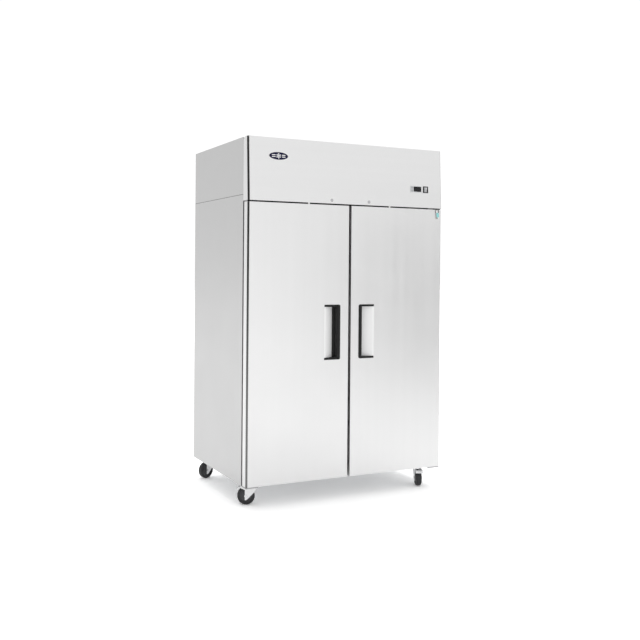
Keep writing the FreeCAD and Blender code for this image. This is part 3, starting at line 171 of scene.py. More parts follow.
STEEL = (0.845, 0.845, 0.845)
SIDE_SHADE = (0.63, 0.63, 0.63)
MATERIALS = {
    "brushed_stainless": brushed("stainless_vertical_grain", STEEL, 0.30, 0.40, "z"),
    "galvanised_sheet": spangled("galvanised_sheet", (0.72, 0.73, 0.74), 0.32, 0.5),
    "liner_stainless": brushed("liner_stainless", (0.84, 0.845, 0.85), 0.34, 0.46, "x"),
    "insulation_foam": moulded("foam", (0.86, 0.78, 0.55), 0.8, 0.95, 300, 0.6),
    "handle_black": moulded("handle_black", (0.006, 0.006, 0.0065), 0.4, 0.55, Specular_IOR_Level=0.3),
    "gasket_grey": moulded("gasket_grey", (0.02, 0.02, 0.021), 0.55, 0.7, Specular_IOR_Level=0.25),
    "coated_wire": moulded("coated_wire", (0.80, 0.81, 0.81), 0.22, 0.34, 600, 0.1),
    "coil_fins": brushed("coil_fins", (0.78, 0.79, 0.80), 0.28, 0.42, "z", streak=0.95),
    "copper_tube": brushed("copper_tube", (0.76, 0.40, 0.24), 0.22, 0.42, "y", streak=0.85),
    "compressor_black": moulded("compressor_black", (0.018, 0.018, 0.02), 0.28, 0.4, 500, 0.25),
    "box_grey": moulded("box_grey", (0.42, 0.43, 0.44), 0.42, 0.55),
    "fan_black": moulded("fan_black", (0.03, 0.03, 0.032), 0.4, 0.52),
    "lamp_cover": moulded("lamp_cover", (0.86, 0.87, 0.88), 0.25, 0.35, 200, 0.1),
    "zinc_plate": spangled("zinc_plate", (0.86, 0.865, 0.875), 0.24, 0.36, 160, 0.93),
    "badge_navy": moulded(
        "badge_navy", (0.004, 0.004, 0.034), 0.3, 0.38, 300, 0.03, Specular_IOR_Level=0.2,
    ),
    "controller_grey": moulded("controller_grey", (0.62, 0.63, 0.64), 0.36, 0.46),
    "switch_black": moulded("switch_black", (0.008, 0.008, 0.009), 0.4, 0.5, Specular_IOR_Level=0.2),
    "button_grey": moulded("button_grey", (0.40, 0.41, 0.42), 0.4, 0.5),
    "lock_chrome": brushed("lock_chrome", (0.58, 0.58, 0.59), 0.16, 0.26, "y", 0.04),
    "wheel_rubber": moulded("wheel_rubber", (0.022, 0.022, 0.024), 0.42, 0.6),
    "key_steel": brushed("key_steel", (0.74, 0.74, 0.73), 0.2, 0.3, "z", 0.05),
}
HEADER_STEEL = brushed("stainless_level_grain", STEEL, 0.30, 0.40, "x")
SIDE_STEEL = brushed("side_sheet_grain", SIDE_SHADE, 0.34, 0.44, "z")
# Painted shade: a dark base colour for the beveled front edges, standing in for the dark surroundings they mirror.
EDGE_PAINTED_SHADE = brushed("folded_edge_painted_shade", (0.2, 0.2, 0.2), 0.3, 0.4, "z", streak=0.9)
# Painted light: a faint emission brightens the handle scoops, which are no lamp.
SCOOP_PAINTED_GLOW = brushed("satin_pressing_painted_glow", (0.84, 0.84, 0.84), 0.45, 0.55, "z", metal=0.1,
                      Emission_Color=(1, 1, 1, 1), Emission_Strength=0.1)
# Painted shade: black for the bevels beside the doors' middle seam and the header lip's underside, where the gaps
# are in shadow.
GAP_SHADE_BLACK = moulded("gap_shade_black", (0.004, 0.004, 0.004), 0.6, 0.8, Specular_IOR_Level=0.1)
FORK_SILVER = brushed("fork_silver", (0.96, 0.96, 0.96), 0.35, 0.45, "x", metal=0.25)
# Painted shade: a dark grey slot of the gap shade strips, for seams in shadow.
GAP_SHADE_GREY = moulded("gap_shade_grey", (0.2, 0.2, 0.2), 0.7, 0.9, 900, 0.4)
# Painted shade: a darker zinc for the door hinges, which sit in shadow under and beside the doors.
HINGE_PAINTED_SHADE = spangled("hinge_zinc_painted_shade", (0.62, 0.62, 0.63), 0.3, 0.42, 160, 0.9)
WHEEL_CORE = moulded("wheel_core", (0.05, 0.05, 0.053), 0.4, 0.5)
WHITE_PRINT = moulded("white_print", (0.95, 0.95, 0.97), 0.3, 0.4, 300, 0.03)
NYLON_WHITE = moulded("nylon_white", (0.9, 0.9, 0.88), 0.35, 0.45, 500, 0.1)
DARK_GLASS = moulded(
    "display_window", (0.004, 0.004, 0.005), 0.2, 0.3, 200, 0.01, Specular_IOR_Level=0.25,
)
DIM_SEGMENT = moulded("unlit_segments", (0.035, 0.037, 0.04), 0.3, 0.4, 200, 0.02)
PALE_TAG = moulded("pale_tag", (0.26, 0.66, 0.66), 0.35, 0.5, 500, 0.15)
RING_STEEL = brushed("dark_ring", (0.04, 0.04, 0.045), 0.25, 0.35, "z", 0.05)
ROCKER_LENS = moulded("rocker_lens", (0.62, 0.62, 0.63), 0.3, 0.4)
# Painted shade in the side seams; the real black of the filter drier's bands.
GAP_SHADE_AND_BAND_BLACK = moulded("gap_shade_and_band_black", (0.008, 0.008, 0.008), 0.85, 0.95, 900, 0.6, Specular_IOR_Level=0.1)


# ---- mesh pieces ---------------------------------------------------------------------------------

def mm(*points):
    """Points given in millimetres."""
    return [Vector(point) * MM for point in points]


def place(origin, x, y):
    """A frame with its origin and its X and Y directions, Z square to both."""
    x, y = Vector(x).normalized(), Vector(y).normalized()
    turn = Matrix((x, y, x.cross(y))).transposed().to_4x4()
    return Matrix.Translation(Vector(origin)) @ turn


def along(origin, way):
    """A frame whose Z looks along a direction."""
    return Matrix.Translation(Vector(origin)) @ Vector(way).to_track_quat("Z", "Y").to_matrix().to_4x4()


def rounded(points, bend, ring=False, steps=5):
    """The points with each corner turned into an arc."""
    points = [Vector(point) for point in points]
    count = len(points)
    result = []
    for index, corner in enumerate(points):
        if not ring and index in (0, count - 1):
            result.append(corner)
            continue
        before = points[index - 1] - corner
        after = points[(index + 1) % count] - corner
        reach = min(bend, before.length * 0.49, after.length * 0.49)
        start, end = corner + before.normalized() * reach, corner + after.normalized() * reach
        for step in range(steps + 1):
            part = step / steps
            result.append(start * (1 - part) ** 2 + corner * 2 * part * (1 - part) + end * part ** 2)
    return result


def rectangle(left, low, right, high, bend=0.0):
    """A rectangle's outline, with rounded corners if a bend is given."""
    corners = [(left, low, 0), (right, low, 0), (right, high, 0), (left, high, 0)]
    return [point.xy for point in (rounded(corners, bend, True) if bend else map(Vector, corners))]


def circle(radius, x=0.0, y=0.0, steps=24):
    """A circle's outline; six steps make a hexagon."""
    angles = [math.tau * step / steps for step in range(steps)]
    return [Vector((x + radius * math.cos(a), y + radius * math.sin(a))) for a in angles]


class Piece:
    """One visual piece: closed shapes built in a frame of their own, each with one of its materials.

    A material is a slot's name or a Blender material; with none given, the piece has its slot's own.
    """

    def __init__(self, name, body, slot, *materials):
        self.name, self.body, self.slot = name, body, slot
        self.materials = [MATERIALS.get(mat, mat) for mat in materials or (slot,)]
        self.mesh = bmesh.new()
        self.frame = Matrix.Identity(4)

    def keep(self, corners, skin):
        """Give new faces their material and set the new corners in the piece's frame."""
        for face in {face for corner in corners for face in corner.link_faces}:
            face.material_index = skin
        bmesh.ops.transform(self.mesh, matrix=self.frame, verts=corners)

    def strip(self, rows, ring, skin):
        """Faces between rows of corners, each row a closed loop or a single point."""
        steps = max(len(row) for row in rows)
        for low, high in list(zip(rows, rows[1:])) + ([(rows[-1], rows[0])] if ring else []):
            for index in range(steps):
                after = (index + 1) % steps
                corners = [low[index % len(low)], low[after % len(low)], high[after % len(high)],
                           high[index % len(high)]]
                corners = list(dict.fromkeys(corners))
                if len(corners) > 2:
                    self.mesh.faces.new(corners)
        if not ring:
            for row in (rows[0], rows[-1]):
                if len(row) > 2:
                    self.mesh.faces.new(row)
        self.keep([corner for row in rows for corner in row], skin)
        return self

    def bar(self, low, high, edge=0.4 * MM, skin=0):
        """A block from its low to its high corner with rounded upright and level edges."""
        left, front, bottom = low
        right, rear, top = high
        edge = min(edge, (right - left) / 3, (rear - front) / 3, (top - bottom) / 3)
        rows = []
        for height, inset in ((bottom, edge), (bottom + edge, 0), (top - edge, 0), (top, edge)):
            outline = rectangle(left + inset, front + inset, right - inset, rear - inset, edge)
            rows.append([self.mesh.verts.new((*point, height)) for point in outline])
        return self.strip(rows, False, skin)

    def lathe(self, profile, skin=0, steps=32, ring=False):
        """(radius, height) points turned about the frame's Z axis."""
        rows = []
        for radius, height in profile:
            turned = circle(radius, steps=steps) if radius > 1e-7 else [Vector((0, 0))]
            rows.append([self.mesh.verts.new((*point, height)) for point in turned])
        return self.strip(rows, ring, skin)

    def plate(self, outline, low, high, skin=0, holes=()):
        """An outline, with holes if any, made solid between two heights."""
        loops = [outline, *holes]
        rows = [[[self.mesh.verts.new((*point, height)) for point in loop] for loop in loops]
                for height in (low, high)]
        flat = [[corner for loop in row for corner in loop] for row in rows]
        for triangle in tessellate_polygon([[Vector((*point, 0)) for point in loop] for loop in loops]):
            for row in flat:
                self.mesh.faces.new([row[index] for index in triangle])
        for under, over in zip(*rows):
            count = len(under)
            for index in range(count):
                after = (index + 1) % count
                self.mesh.faces.new((under[index], under[after], over[after], over[index]))
        self.keep(flat[0] + flat[1], skin)
        return self

    def lattice(self, xs, ys, is_open, low, high):
        """A sheet between two heights, cut at xs and ys into cells, without the open ones."""
        corners = {}

        def corner(column, row, level):
            key = (column, row, level)
            if key not in corners:
                corners[key] = self.mesh.verts.new((xs[column], ys[row], (low, high)[level]))
            return corners[key]

        def solid(column, row):
            inside = 0 <= column < len(xs) - 1 and 0 <= row < len(ys) - 1
            return inside and not is_open(column, row)

        square = ((0, 0), (1, 0), (1, 1), (0, 1))
        walls = (((-1, 0), (0, 0), (0, 1)), ((1, 0), (1, 0), (1, 1)),
                 ((0, -1), (0, 0), (1, 0)), ((0, 1), (0, 1), (1, 1)))
        for column in range(len(xs) - 1):
            for row in range(len(ys) - 1):
                if not solid(column, row):
                    continue
                for level in (0, 1):
                    self.mesh.faces.new([corner(column + i, row + j, level) for i, j in square])
                for (di, dj), (ai, aj), (bi, bj) in walls:
                    if not solid(column + di, row + dj):
                        ends = ((ai, aj, 0), (bi, bj, 0), (bi, bj, 1), (ai, aj, 1))
                        self.mesh.faces.new([corner(column + i, row + j, k) for i, j, k in ends])
        self.keep(list(corners.values()), 0)
        return self

    def tube(self, path, radius, skin=0, steps=10, ring=False):
        """A round tube along a path of points."""
        path = [Vector(point) for point in path]
        count = len(path)
        side = None
        rows = []
        for index, point in enumerate(path):
            before = path[index - 1] if ring or index else point
            after = path[(index + 1) % count] if ring or index < count - 1 else point
            way = (after - before).normalized()
            if side is None:
                side = way.orthogonal().normalized()
            side = (side - way * side.dot(way)).normalized()
            other = way.cross(side)
            rows.append([self.mesh.verts.new(point + (side * flat.x + other * flat.y))
                         for flat in circle(radius, steps=steps)])
        return self.strip(rows, ring, skin)

    def done(self, *stands_for, sharp=35):
        """Close the mesh, shade it smooth except at sharp edges and set it on its body."""
        bmesh.ops.recalc_face_normals(self.mesh, faces=self.mesh.faces)
        for face in self.mesh.faces:
            face.smooth = True
        data = bpy.data.meshes.new(self.name)
        self.mesh.to_mesh(data)
        self.mesh.free()
        data.set_sharp_from_angle(angle=math.radians(sharp))
        for mat in self.materials:
            data.materials.append(mat)
        thing = bpy.data.objects.new(self.name, data)
        bpy.context.scene.collection.objects.link(thing)
        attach(thing, self.body)
        if stands_for:
            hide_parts(*stands_for)
        return thing


def four(x, y):
    """The four corners of a rectangle about the origin."""
    return [(side * x, end * y) for side in (-1, 1) for end in (-1, 1)]


def islands(name):
    """The (low, high) box of each separate solid of a CAD node."""
    mesh = bmesh.new()
    mesh.from_mesh(NODES[name].data)
    bmesh.ops.remove_doubles(mesh, verts=mesh.verts, dist=0.01 * MM)
    left = set(mesh.verts)
    boxes = []
    while left:
        front = [left.pop()]
        found = []
        while front:
            corner = front.pop()
            found.append(corner.co.copy())
            for edge in corner.link_edges:
                other = edge.other_vert(corner)
                if other in left:
                    left.remove(other)
                    front.append(other)
        boxes.append(tuple(Vector(limit(point[axis] for point in found) for axis in range(3))
                           for limit in (min, max)))
    mesh.free()
    return sorted(boxes, key=lambda box: tuple(round(value, 5) for value in (*box[0], *box[1])))


# ---- CAD nodes that stay -------------------------------------------------------------------------

def dress_nodes():
    """Every carried-over CAD node gets the material of its slot, or one nearer to its make; the handle scoops get
    a faint painted glow and the hinges a painted shade.
    """
    closer_or_painted = {"header_panel": HEADER_STEEL, "door_left_handle_scoop": SCOOP_PAINTED_GLOW,
              "door_right_handle_scoop": SCOOP_PAINTED_GLOW, "door_hinges": HINGE_PAINTED_SHADE,
              "side_panels": SIDE_STEEL, "machine_side_covers": SIDE_STEEL}
    closer_or_painted.update({name: FORK_SILVER for name in NODES if name.startswith("caster_fork")})
    for entry in frame["record"]["subparts"]:
        name = entry["node"]
        data = NODES[name].data
        data.materials.clear()
        data.materials.append(closer_or_painted.get(name, MATERIALS[entry["material_slot"]]))


def paint_edge_shade():
    """Painted shade: a dark colour on the beveled front edges, and black beside the middle seam and under the
    header where the gaps fall in shadow.
    """
    for name in ("door_left_skin", "door_right_skin", "header_panel"):
        data = NODES[name].data
        low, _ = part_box(name)
        data.materials.append(EDGE_PAINTED_SHADE)
        data.materials.append(GAP_SHADE_BLACK)
        for face in data.polygons:
            # Painted shade: sloped bevels take the dark edge colour; the header lip's underside and the bevels by
            # the middle seam take black.
            sloped = 0.6 < abs(face.normal.x) < 0.8 and face.normal.y < -0.6
            lip = name == "header_panel" and face.normal.z < -0.9 and face.center.z < low.z + 1 * MM
            seam = lip or (sloped and abs(face.center.x) < 20 * MM)
            face.material_index = 2 if seam else int(sloped)


def core_wheels():
    """The middle of each wheel is a moulded core inside the rubber tread."""
    tread = 9 * MM
    for name, node in NODES.items():
        if not name.startswith("caster_wheel"):
            continue
        node.data.materials.append(WHEEL_CORE)
        low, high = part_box(name)
        hub = (low + high) / 2
        core = (high.z - low.z) / 2 - tread
        for face in node.data.polygons:
            face.material_index = int((face.center - hub).length < core)


def soften(names, width):
    """A small bevel on the sharp edges of CAD nodes, so that they catch the light."""
    for name in names:
        weld = NODES[name].modifiers.new("weld", "WELD")
        weld.merge_threshold = 0.01 * MM
        bevel = NODES[name].modifiers.new("soft_edges", "BEVEL")
        bevel.width = width
        bevel.segments = 2
        bevel.limit_method = "ANGLE"
        bevel.angle_limit = math.radians(40)
        bevel.harden_normals = True


# ---- header --------------------------------------------------------------------------------------

def header_face(x, z):
    """A frame on the header's leaning front sheet: X to the right, Y up the sheet and Z outward."""
    inward = Vector(JOINTS["button_up_press"]["axis"])
    low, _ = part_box("header_panel")
    y = low.y - (z - low.z) * inward.z / inward.y
    up = Vector((0, -inward.z, inward.y))
    return place((x, y, z), (1, 0, 0), up)


def badge():
    """Domed oval badge with a bright rim and a raised snowflake between two pairs of bars."""
    low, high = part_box("badge")
    long, tall = (high.x - low.x) / 2, (high.z - low.z) / 2
    piece = Piece("oval_badge", "header", "badge_navy", "badge_navy", WHITE_PRINT, "key_steel")
    sheet = header_face((low.x + high.x) / 2, (low.z + high.z) / 2)
    piece.frame = sheet @ Matrix.Diagonal((long, tall, 1, 1))
    dome = [(0, 0), (0.97, 0), (0.97, 1.3 * MM), (0.8, 1.7 * MM), (0.5, 1.9 * MM), (0, 2.0 * MM)]
    rim = [(0.965, 0), (1, 0), (1, 1.5 * MM), (0.985, 1.8 * MM), (0.965, 1.5 * MM)]
    piece.lathe(dome, 0, 64)
    piece.lathe(rim, 2, 64, ring=True)
    top, edge = 2.15 * MM, 0.2 * MM
    for arm in range(6):
        branch = sheet @ Matrix.Rotation(math.tau * arm / 6, 4, "Z")
        piece.frame = branch
        piece.bar((-1.5 * MM, 0, 1.6 * MM), (1.5 * MM, 16 * MM, top), edge, 1)
        for lean in (-0.9, 0.9):
            piece.frame = branch @ Matrix.Translation((0, 7.5 * MM, 0)) @ Matrix.Rotation(lean, 4, "Z")
            piece.bar((-1.1 * MM, 0, 1.6 * MM), (1.1 * MM, 6 * MM, top), edge, 1)
    piece.frame = sheet
    half = 2.2 * MM
    for left, right in ((-42 * MM, -20 * MM), (20 * MM, 42 * MM)):
        for row in (-5 * MM, 5 * MM):
            piece.bar((left, row - half, 1.2 * MM), (right, row + half, top), edge, 1)
    piece.done("badge")


# across, up and whether it stands upright, for each of a figure's seven bars
SEGMENTS = ((0, 1, 0), (0.5, 0.5, 1), (0.5, -0.5, 1), (0, -1, 0), (-0.5, -0.5, 1), (-0.5, 0.5, 1),
            (0, 0, 0))


def figure(piece, x, high, lift, skin):
    """Seven bars of a figure, none of them lit."""
    long = high / 2
    narrow, reach = 0.6 * MM, long * 0.42
    for across, up, upright in SEGMENTS:
        cx, cy = x + across * long, up * long
        w, h = (narrow, reach) if upright else (reach, narrow)
        piece.bar((cx - w, cy - h, lift), (cx + w, cy + h, lift + 0.1 * MM), 0.05 * MM, skin)


def controller_face():
    """Dark window with three unlit figures and a column of four small lamps."""
    low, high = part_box("controller")
    width, height = high.x - low.x, high.z - low.z
    proud = 3.0 * MM
    piece = Piece("controller_face", "header", "controller_grey", DARK_GLASS, DIM_SEGMENT)
    sheet = header_face((low.x + high.x) / 2, (low.z + high.z) / 2)
    piece.frame = sheet
    left, right = -width / 2 + 22 * MM, width / 2 - 4 * MM
    rise = height / 2 - 4 * MM
    piece.plate(rectangle(left, -rise, right, rise, 2.5 * MM), proud, proud + 0.45 * MM)
    for index in range(3):
        figure(piece, left + (12 + 15 * index) * MM, 17 * MM, proud + 0.46 * MM, 1)
    for index in range(4):
        spot = (right - 3.5 * MM, (index - 1.5) * 6 * MM, proud + 0.4 * MM)
        piece.frame = sheet @ Matrix.Translation(spot)
        piece.lathe(mm((0, 0), (0.8, 0), (0.8, 0.1), (0, 0.2)), 1, 12)
    piece.done()


def rocker_lens():
    """A pale lens set in the right half of the rocker, one sheet on each of its two slopes."""
    low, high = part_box("rocker")
    piece = Piece("rocker_lens", "rocker", "button_grey", ROCKER_LENS)
    sheet = header_face((low.x + high.x) / 2, (low.z + high.z) / 2)
    up = sheet.to_3x3() @ Vector((0, 1, 0))
    before, inward = Vector((0, -30 * MM, 0)), (0, 1, 0)
    for rise, tall in ((7 * MM, 6 * MM), (-5 * MM, 3.5 * MM)):
        spot = sheet.translation + up * rise
        hit, point, normal, _ = NODES["rocker"].ray_cast(spot + before, inward)
        if hit:
            piece.frame = place(point, (1, 0, 0), normal.cross((1, 0, 0)))
            piece.plate(rectangle(0.5 * MM, -tall, 9.5 * MM, tall, 0.8 * MM), -0.1 * MM, 0.15 * MM)
    piece.done()


def header_bumpers():
    """Two nylon bumpers under the header's lower edge that the doors stop against."""
    low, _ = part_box("header_panel")
    drop = low.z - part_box("door_left_skin")[1].z - 0.6 * MM
    foot = [(0, -3 * MM), (2 * MM, -3 * MM), (2.2 * MM, 0), (5.5 * MM, 0), (5.5 * MM, drop * 0.7),
            (4.6 * MM, drop), (0, drop + 0.2 * MM)]
    piece = Piece("header_bumpers", "header", "button_grey", NYLON_WHITE)
    for x in (-273 * MM, 276 * MM):
        piece.frame = along((x, low.y + 8 * MM, low.z + 0.3 * MM), (0, 0, -1))
        piece.lathe(foot, 0, 24)
    piece.done()


def lock_faces():
    """A bright collar round each lock barrel."""
    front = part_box("lock_barrels")[0].y
    collar = mm((6.4, -1.2), (9.3, -1.2), (9.3, -0.1), (8.4, -0.02), (6.8, -0.02), (6.4, -0.5))
    for side in ("left", "right"):
        spot = Vector(JOINTS[f"lock_{side}_turn"]["pos_m"])
        piece = Piece(f"lock_collar_{side}", "header", "lock_chrome")
        piece.frame = along((spot.x, front, spot.z), (0, -1, 0))
        piece.lathe(collar, 0, 40, ring=True)
        piece.done()


# ---- doors ---------------------------------------------------------------------------------------

# the bellows profile in millimetres: inward from the gasket's edge, and back from the door
GASKET = ((2, 0), (18, 0), (18, 2.2), (13, 3.6), (17.4, 6), (13, 8.2), (19.2, 10.2), (19.6, 14.2),
          (0.6, 14.2), (1, 10.2), (7, 8.2), (2.6, 6), (7, 3.6), (2, 2.2))


def gaskets():
    """Magnetic gasket of each door: one bellows profile mitred round four sides."""
    for side in ("left", "right"):
        node = f"door_{side}_gasket"
        low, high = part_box(node)
        piece = Piece(f"gasket_{side}", f"door_{side}", "gasket_grey")
        rows = []
        corners = (
            (low.x, low.z, 1, 1), (high.x, low.z, -1, 1), (high.x, high.z, -1, -1),
            (low.x, high.z, 1, -1),
        )
        for x, z, in_x, in_z in corners:
            points = [(x + in_x * u * MM, low.y + v * MM, z + in_z * u * MM) for u, v in GASKET]
            rows.append([piece.mesh.verts.new(point) for point in points])
        piece.strip(rows, True, 0)
        piece.done(node)


def liner_pressings():
    """A raised panel on each door's inner sheet with a soft step round it."""
    for side in ("left", "right"):
        liner_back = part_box(f"door_{side}_liner")[1].y
        low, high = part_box(f"door_{side}_gasket")
        piece = Piece(f"liner_pressing_{side}", f"door_{side}", "liner_stainless")
        piece.frame = place((0, liner_back, 0), (1, 0, 0), (0, 0, 1))
        for inset, rise in ((70 * MM, 0.8 * MM), (82 * MM, 1.6 * MM)):
            outline = rectangle(low.x + inset, low.z + inset, high.x - inset, high.z - inset, 14 * MM)
            piece.plate(outline, -rise, 0.2 * MM)
        piece.done()


def keys():
    """Split ring with two cut keys and a small tag, hanging from its hook."""
    low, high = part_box("spare_keys")
    hang = Vector(JOINTS["keys_swing"]["pos_m"])
    y = (low.y + high.y) / 2
    piece = Piece("key_ring", "keys", "key_steel", RING_STEEL, PALE_TAG, "key_steel")
    radius, turns, steps = 12.4 * MM, 2, 72
    loop = []
    for step in range(steps + 1):
        angle = turns * math.tau * step / steps
        loop.append((hang.x + radius * math.sin(angle), y - 0.45 * MM + 0.9 * MM * step / steps,
                     hang.z - radius + radius * math.cos(angle)))
    piece.tube(loop, 1.0 * MM, 0, 8)
    foot = hang.z - 2 * radius

    def hung(x, lift, rise, lean):
        """A frame on the ring for a flat thing that leans by an angle."""
        at = (hang.x + x * MM, y + lift * MM, foot + rise * MM)
        return place(at, (1, 0, 0), (0, 0, 1)) @ Matrix.Rotation(lean, 4, "Z")

    for skin, lean, lift, cuts in (
        (0, 0.12, 0.1, (1.2, 2.2, 0.8, 1.8)), (2, -0.1, -0.9, (2, 1, 1.8, 1.3)),
    ):
        piece.frame = hung(-3, lift, 1, lean)
        blade = [(-2.6, -12), (2.2, -12), (2.2, -17)]
        for index, depth in enumerate(cuts):
            blade += [(2.2 - depth, -18.5 - 3.5 * index), (2.2, -20.3 - 3.5 * index)]
        blade += [(1, -34), (-1.4, -34), (-2.6, -32)]
        bow = rectangle(-5 * MM, -13 * MM, 5 * MM, 2 * MM, 3.5 * MM)
        piece.plate(bow, -0.35 * MM, 0.35 * MM, skin, [circle(1.8 * MM, 0, -2 * MM)])
        piece.plate(mm(*blade), -0.3 * MM, 0.3 * MM, skin)
    piece.frame = hung(2, -1, 2, 0.15)
    piece.plate(rectangle(-9 * MM, -25 * MM, 8 * MM, 3 * MM, 3 * MM), -0.4 * MM, 0.4 * MM, 1,
                [circle(1.8 * MM, 0, -1 * MM)])
    piece.plate(rectangle(-5.5 * MM, -20 * MM, 5.5 * MM, -7 * MM, 1.5 * MM), -0.45 * MM, 0.45 * MM, 1)
    piece.done("spare_keys")


# ---- cabinet -------------------------------------------------------------------------------------

def gap_shade_strips():
    """Painted shade: near-black strips in the seam of each side, along the top of the front frame and before the
    top hinge leaves, dark where the gaps fall in shadow.
    """
    cover_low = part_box("machine_side_covers")[0].z
    panel_low, panel_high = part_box("side_panels")
    piece = Piece("gap_shade_strips", "cabinet", "gasket_grey", GAP_SHADE_AND_BAND_BLACK, GAP_SHADE_GREY)
    # Painted shade: a black strip in each side seam, where the gap is in shadow.
    for side in (-1, 1):
        ends = sorted((side * (panel_high.x - 0.5 * MM), side * (panel_high.x - 1.2 * MM)))
        piece.bar((ends[0], panel_low.y + 1 * MM, panel_high.z),
                  (ends[1], panel_high.y - 1.5 * MM, cover_low), 0.1 * MM, 1)
    # A dark strip along the top of the front frame, partly a real seal and partly painted shade for the gap above
    # the doors; the bars before the top hinge leaves are painted shade.
    door_top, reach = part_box("door_left_skin")[1].z, 598 * MM
    piece.bar((-reach, panel_low.y - 5 * MM, door_top + 0.6 * MM),
              (reach, panel_low.y, panel_high.z - 2 * MM), 0.5 * MM)
    for low, high in islands("door_hinges"):
        if low.z > door_top - 0.1:
            piece.bar((low.x - 3 * MM, low.y - 1 * MM, door_top + 1.6 * MM),
                      (high.x + 3 * MM, low.y - 0.1 * MM, door_top + 7.1 * MM), 0.1 * MM)
    piece.done()


# the outline of a screw's cross recess, in half widths
CROSS = ((0.3, 0.3), (0.3, 1), (-0.3, 1), (-0.3, 0.3), (-1, 0.3), (-1, -0.3), (-0.3, -0.3), (-0.3, -1),
         (0.3, -1), (0.3, -0.3), (1, -0.3), (1, 0.3))


def screws():
    """Hexagon heads under the caster plates and cross-recessed screws in the hinge leaves."""
    piece = Piece("screw_heads", "cabinet", "zinc_plate")
    for low, high in islands("fasteners"):
        centre = (low + high) / 2
        if high.z - low.z < high.x - low.x:
            piece.frame = along((centre.x, centre.y, high.z), (0, 0, -1))
            tall, wide = high.z - low.z, (high.x - low.x) / 2
            piece.lathe([(0, 0), (wide, 0), (wide, 0.8 * MM), (0, 0.8 * MM)], 0, 24)
            piece.plate(circle(wide * 0.86, steps=6), 0.8 * MM, tall)
        else:
            piece.frame = along((centre.x, high.y, centre.z), (0, -1, 0))
            tall, wide = high.y - low.y, (high.x - low.x) / 2
            recess = [Vector(point) * wide * 0.5 for point in CROSS]
            piece.lathe([(0, 0), (wide, 0), (wide * 0.96, tall * 0.55), (0, tall * 0.55)], 0, 24)
            piece.plate(circle(wide * 0.82), tall * 0.5, tall, 0, [recess])
    piece.done("fasteners")


def upright_slots():
    """A face strip with real slots on every shelf upright."""
    piece = Piece("upright_faces", "cabinet", "zinc_plate")
    pitch, slot_high = 25 * MM, 12 * MM
    for low, high in islands("shelf_supports"):
        if high.z - low.z < 0.5:
            continue
        sideways = high.y - low.y > high.x - low.x
        wide = (high.y - low.y if sideways else high.x - low.x) / 2
        centre = (low + high) / 2
        if sideways:
            inner, inward = (low.x, -1) if centre.x > 0 else (high.x, 1)
            piece.frame = place((inner, centre.y, low.z), (0, inward, 0), (0, 0, 1))
        else:
            inner, across = (high.y, -1) if centre.y < 0 else (low.y, 1)
            piece.frame = place((centre.x, inner, low.z), (across, 0, 0), (0, 0, 1))
        tall = high.z - low.z
        xs = [wide * share for share in (-1, -0.65, -0.25, 0.25, 0.65, 1)]
        ys = [0.0]
        for index in range(int((tall - slot_high) / pitch)):
            ys += [pitch * (index + 0.5), pitch * (index + 0.5) + slot_high]
        ys.append(tall)
        piece.lattice(xs, ys, lambda column, row: column in (1, 3) and row % 2 == 1, 0, 0.8 * MM)
    piece.done()


def louvres():
    """A pressed hood inside every slot of the rear grille and ribs between the slots' sections."""
    low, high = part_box("rear_grille")
    piece = Piece("grille_hoods", "cabinet", "galvanised_sheet")
    slots, sections = 9, 5
    half, pitch, first = 380 * MM, 24 * MM, low.z + 60 * MM
    hood = mm((0, 10.5), (-1.2, 11.2), (-9.5, 4.2), (-9.5, 0.8), (-8.6, 0.8), (-8.4, 3.8), (-1.2, 10))
    for index in range(slots):
        piece.frame = place((-half, low.y, first + index * pitch), (0, 1, 0), (0, 0, 1))
        piece.plate(hood, 0, 2 * half)
    piece.frame = Matrix.Identity(4)
    foot, top = first - 4 * MM, first + slots * pitch - 8 * MM
    for index in range(1, sections):
        x = -half + index * half * 2 / sections
        piece.bar((x - 5 * MM, low.y, foot), (x + 5 * MM, high.y, top), 0.2 * MM)
    piece.done()


def evaporator_guard():
    """Domed wire guard over the evaporator's fan opening, and screws round the cover."""
    low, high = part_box("evaporator_housing")
    spot = Vector(JOINTS["evaporator_fan_spin"]["pos_m"])
    piece = Piece("evaporator_guard", "cabinet", "coated_wire")
    piece.frame = along((spot.x, low.y - 1.6 * MM, spot.z), (0, -1, 0))
    rim, rise = 68 * MM, 7 * MM

    def dome(radius):
        """How far the guard stands out at a radius."""
        return rise * math.cos(min(1, radius / rim) * math.pi / 2)

    for ring in range(1, 7):
        radius = (8 + 10 * ring) * MM
        piece.tube([(*point, dome(radius)) for point in circle(radius, steps=48)], 1.1 * MM, 0, 8, True)
    for spoke in range(4):
        turn = math.tau * (spoke + 0.5) / 4
        reaches = [step * 12 * MM for step in range(7)]
        path = [(r * math.cos(turn), r * math.sin(turn), dome(r) - 1 * MM) for r in reaches]
        piece.tube(path, 1.4 * MM, 0, 8)
    piece.done()
    heads = Piece("evaporator_screws", "cabinet", "zinc_plate")
    head = mm((0, -1), (3.6, -1), (3.6, 0.6), (2.4, 1.6), (0, 1.8))
    for x in (low.x + 12 * MM, low.x / 2, high.x / 2, high.x - 12 * MM):
        for z in (low.z + 12 * MM, high.z - 12 * MM):
            heads.frame = along((x, low.y, z), (0, -1, 0))
            heads.lathe(head, 0, 20)
    heads.done()


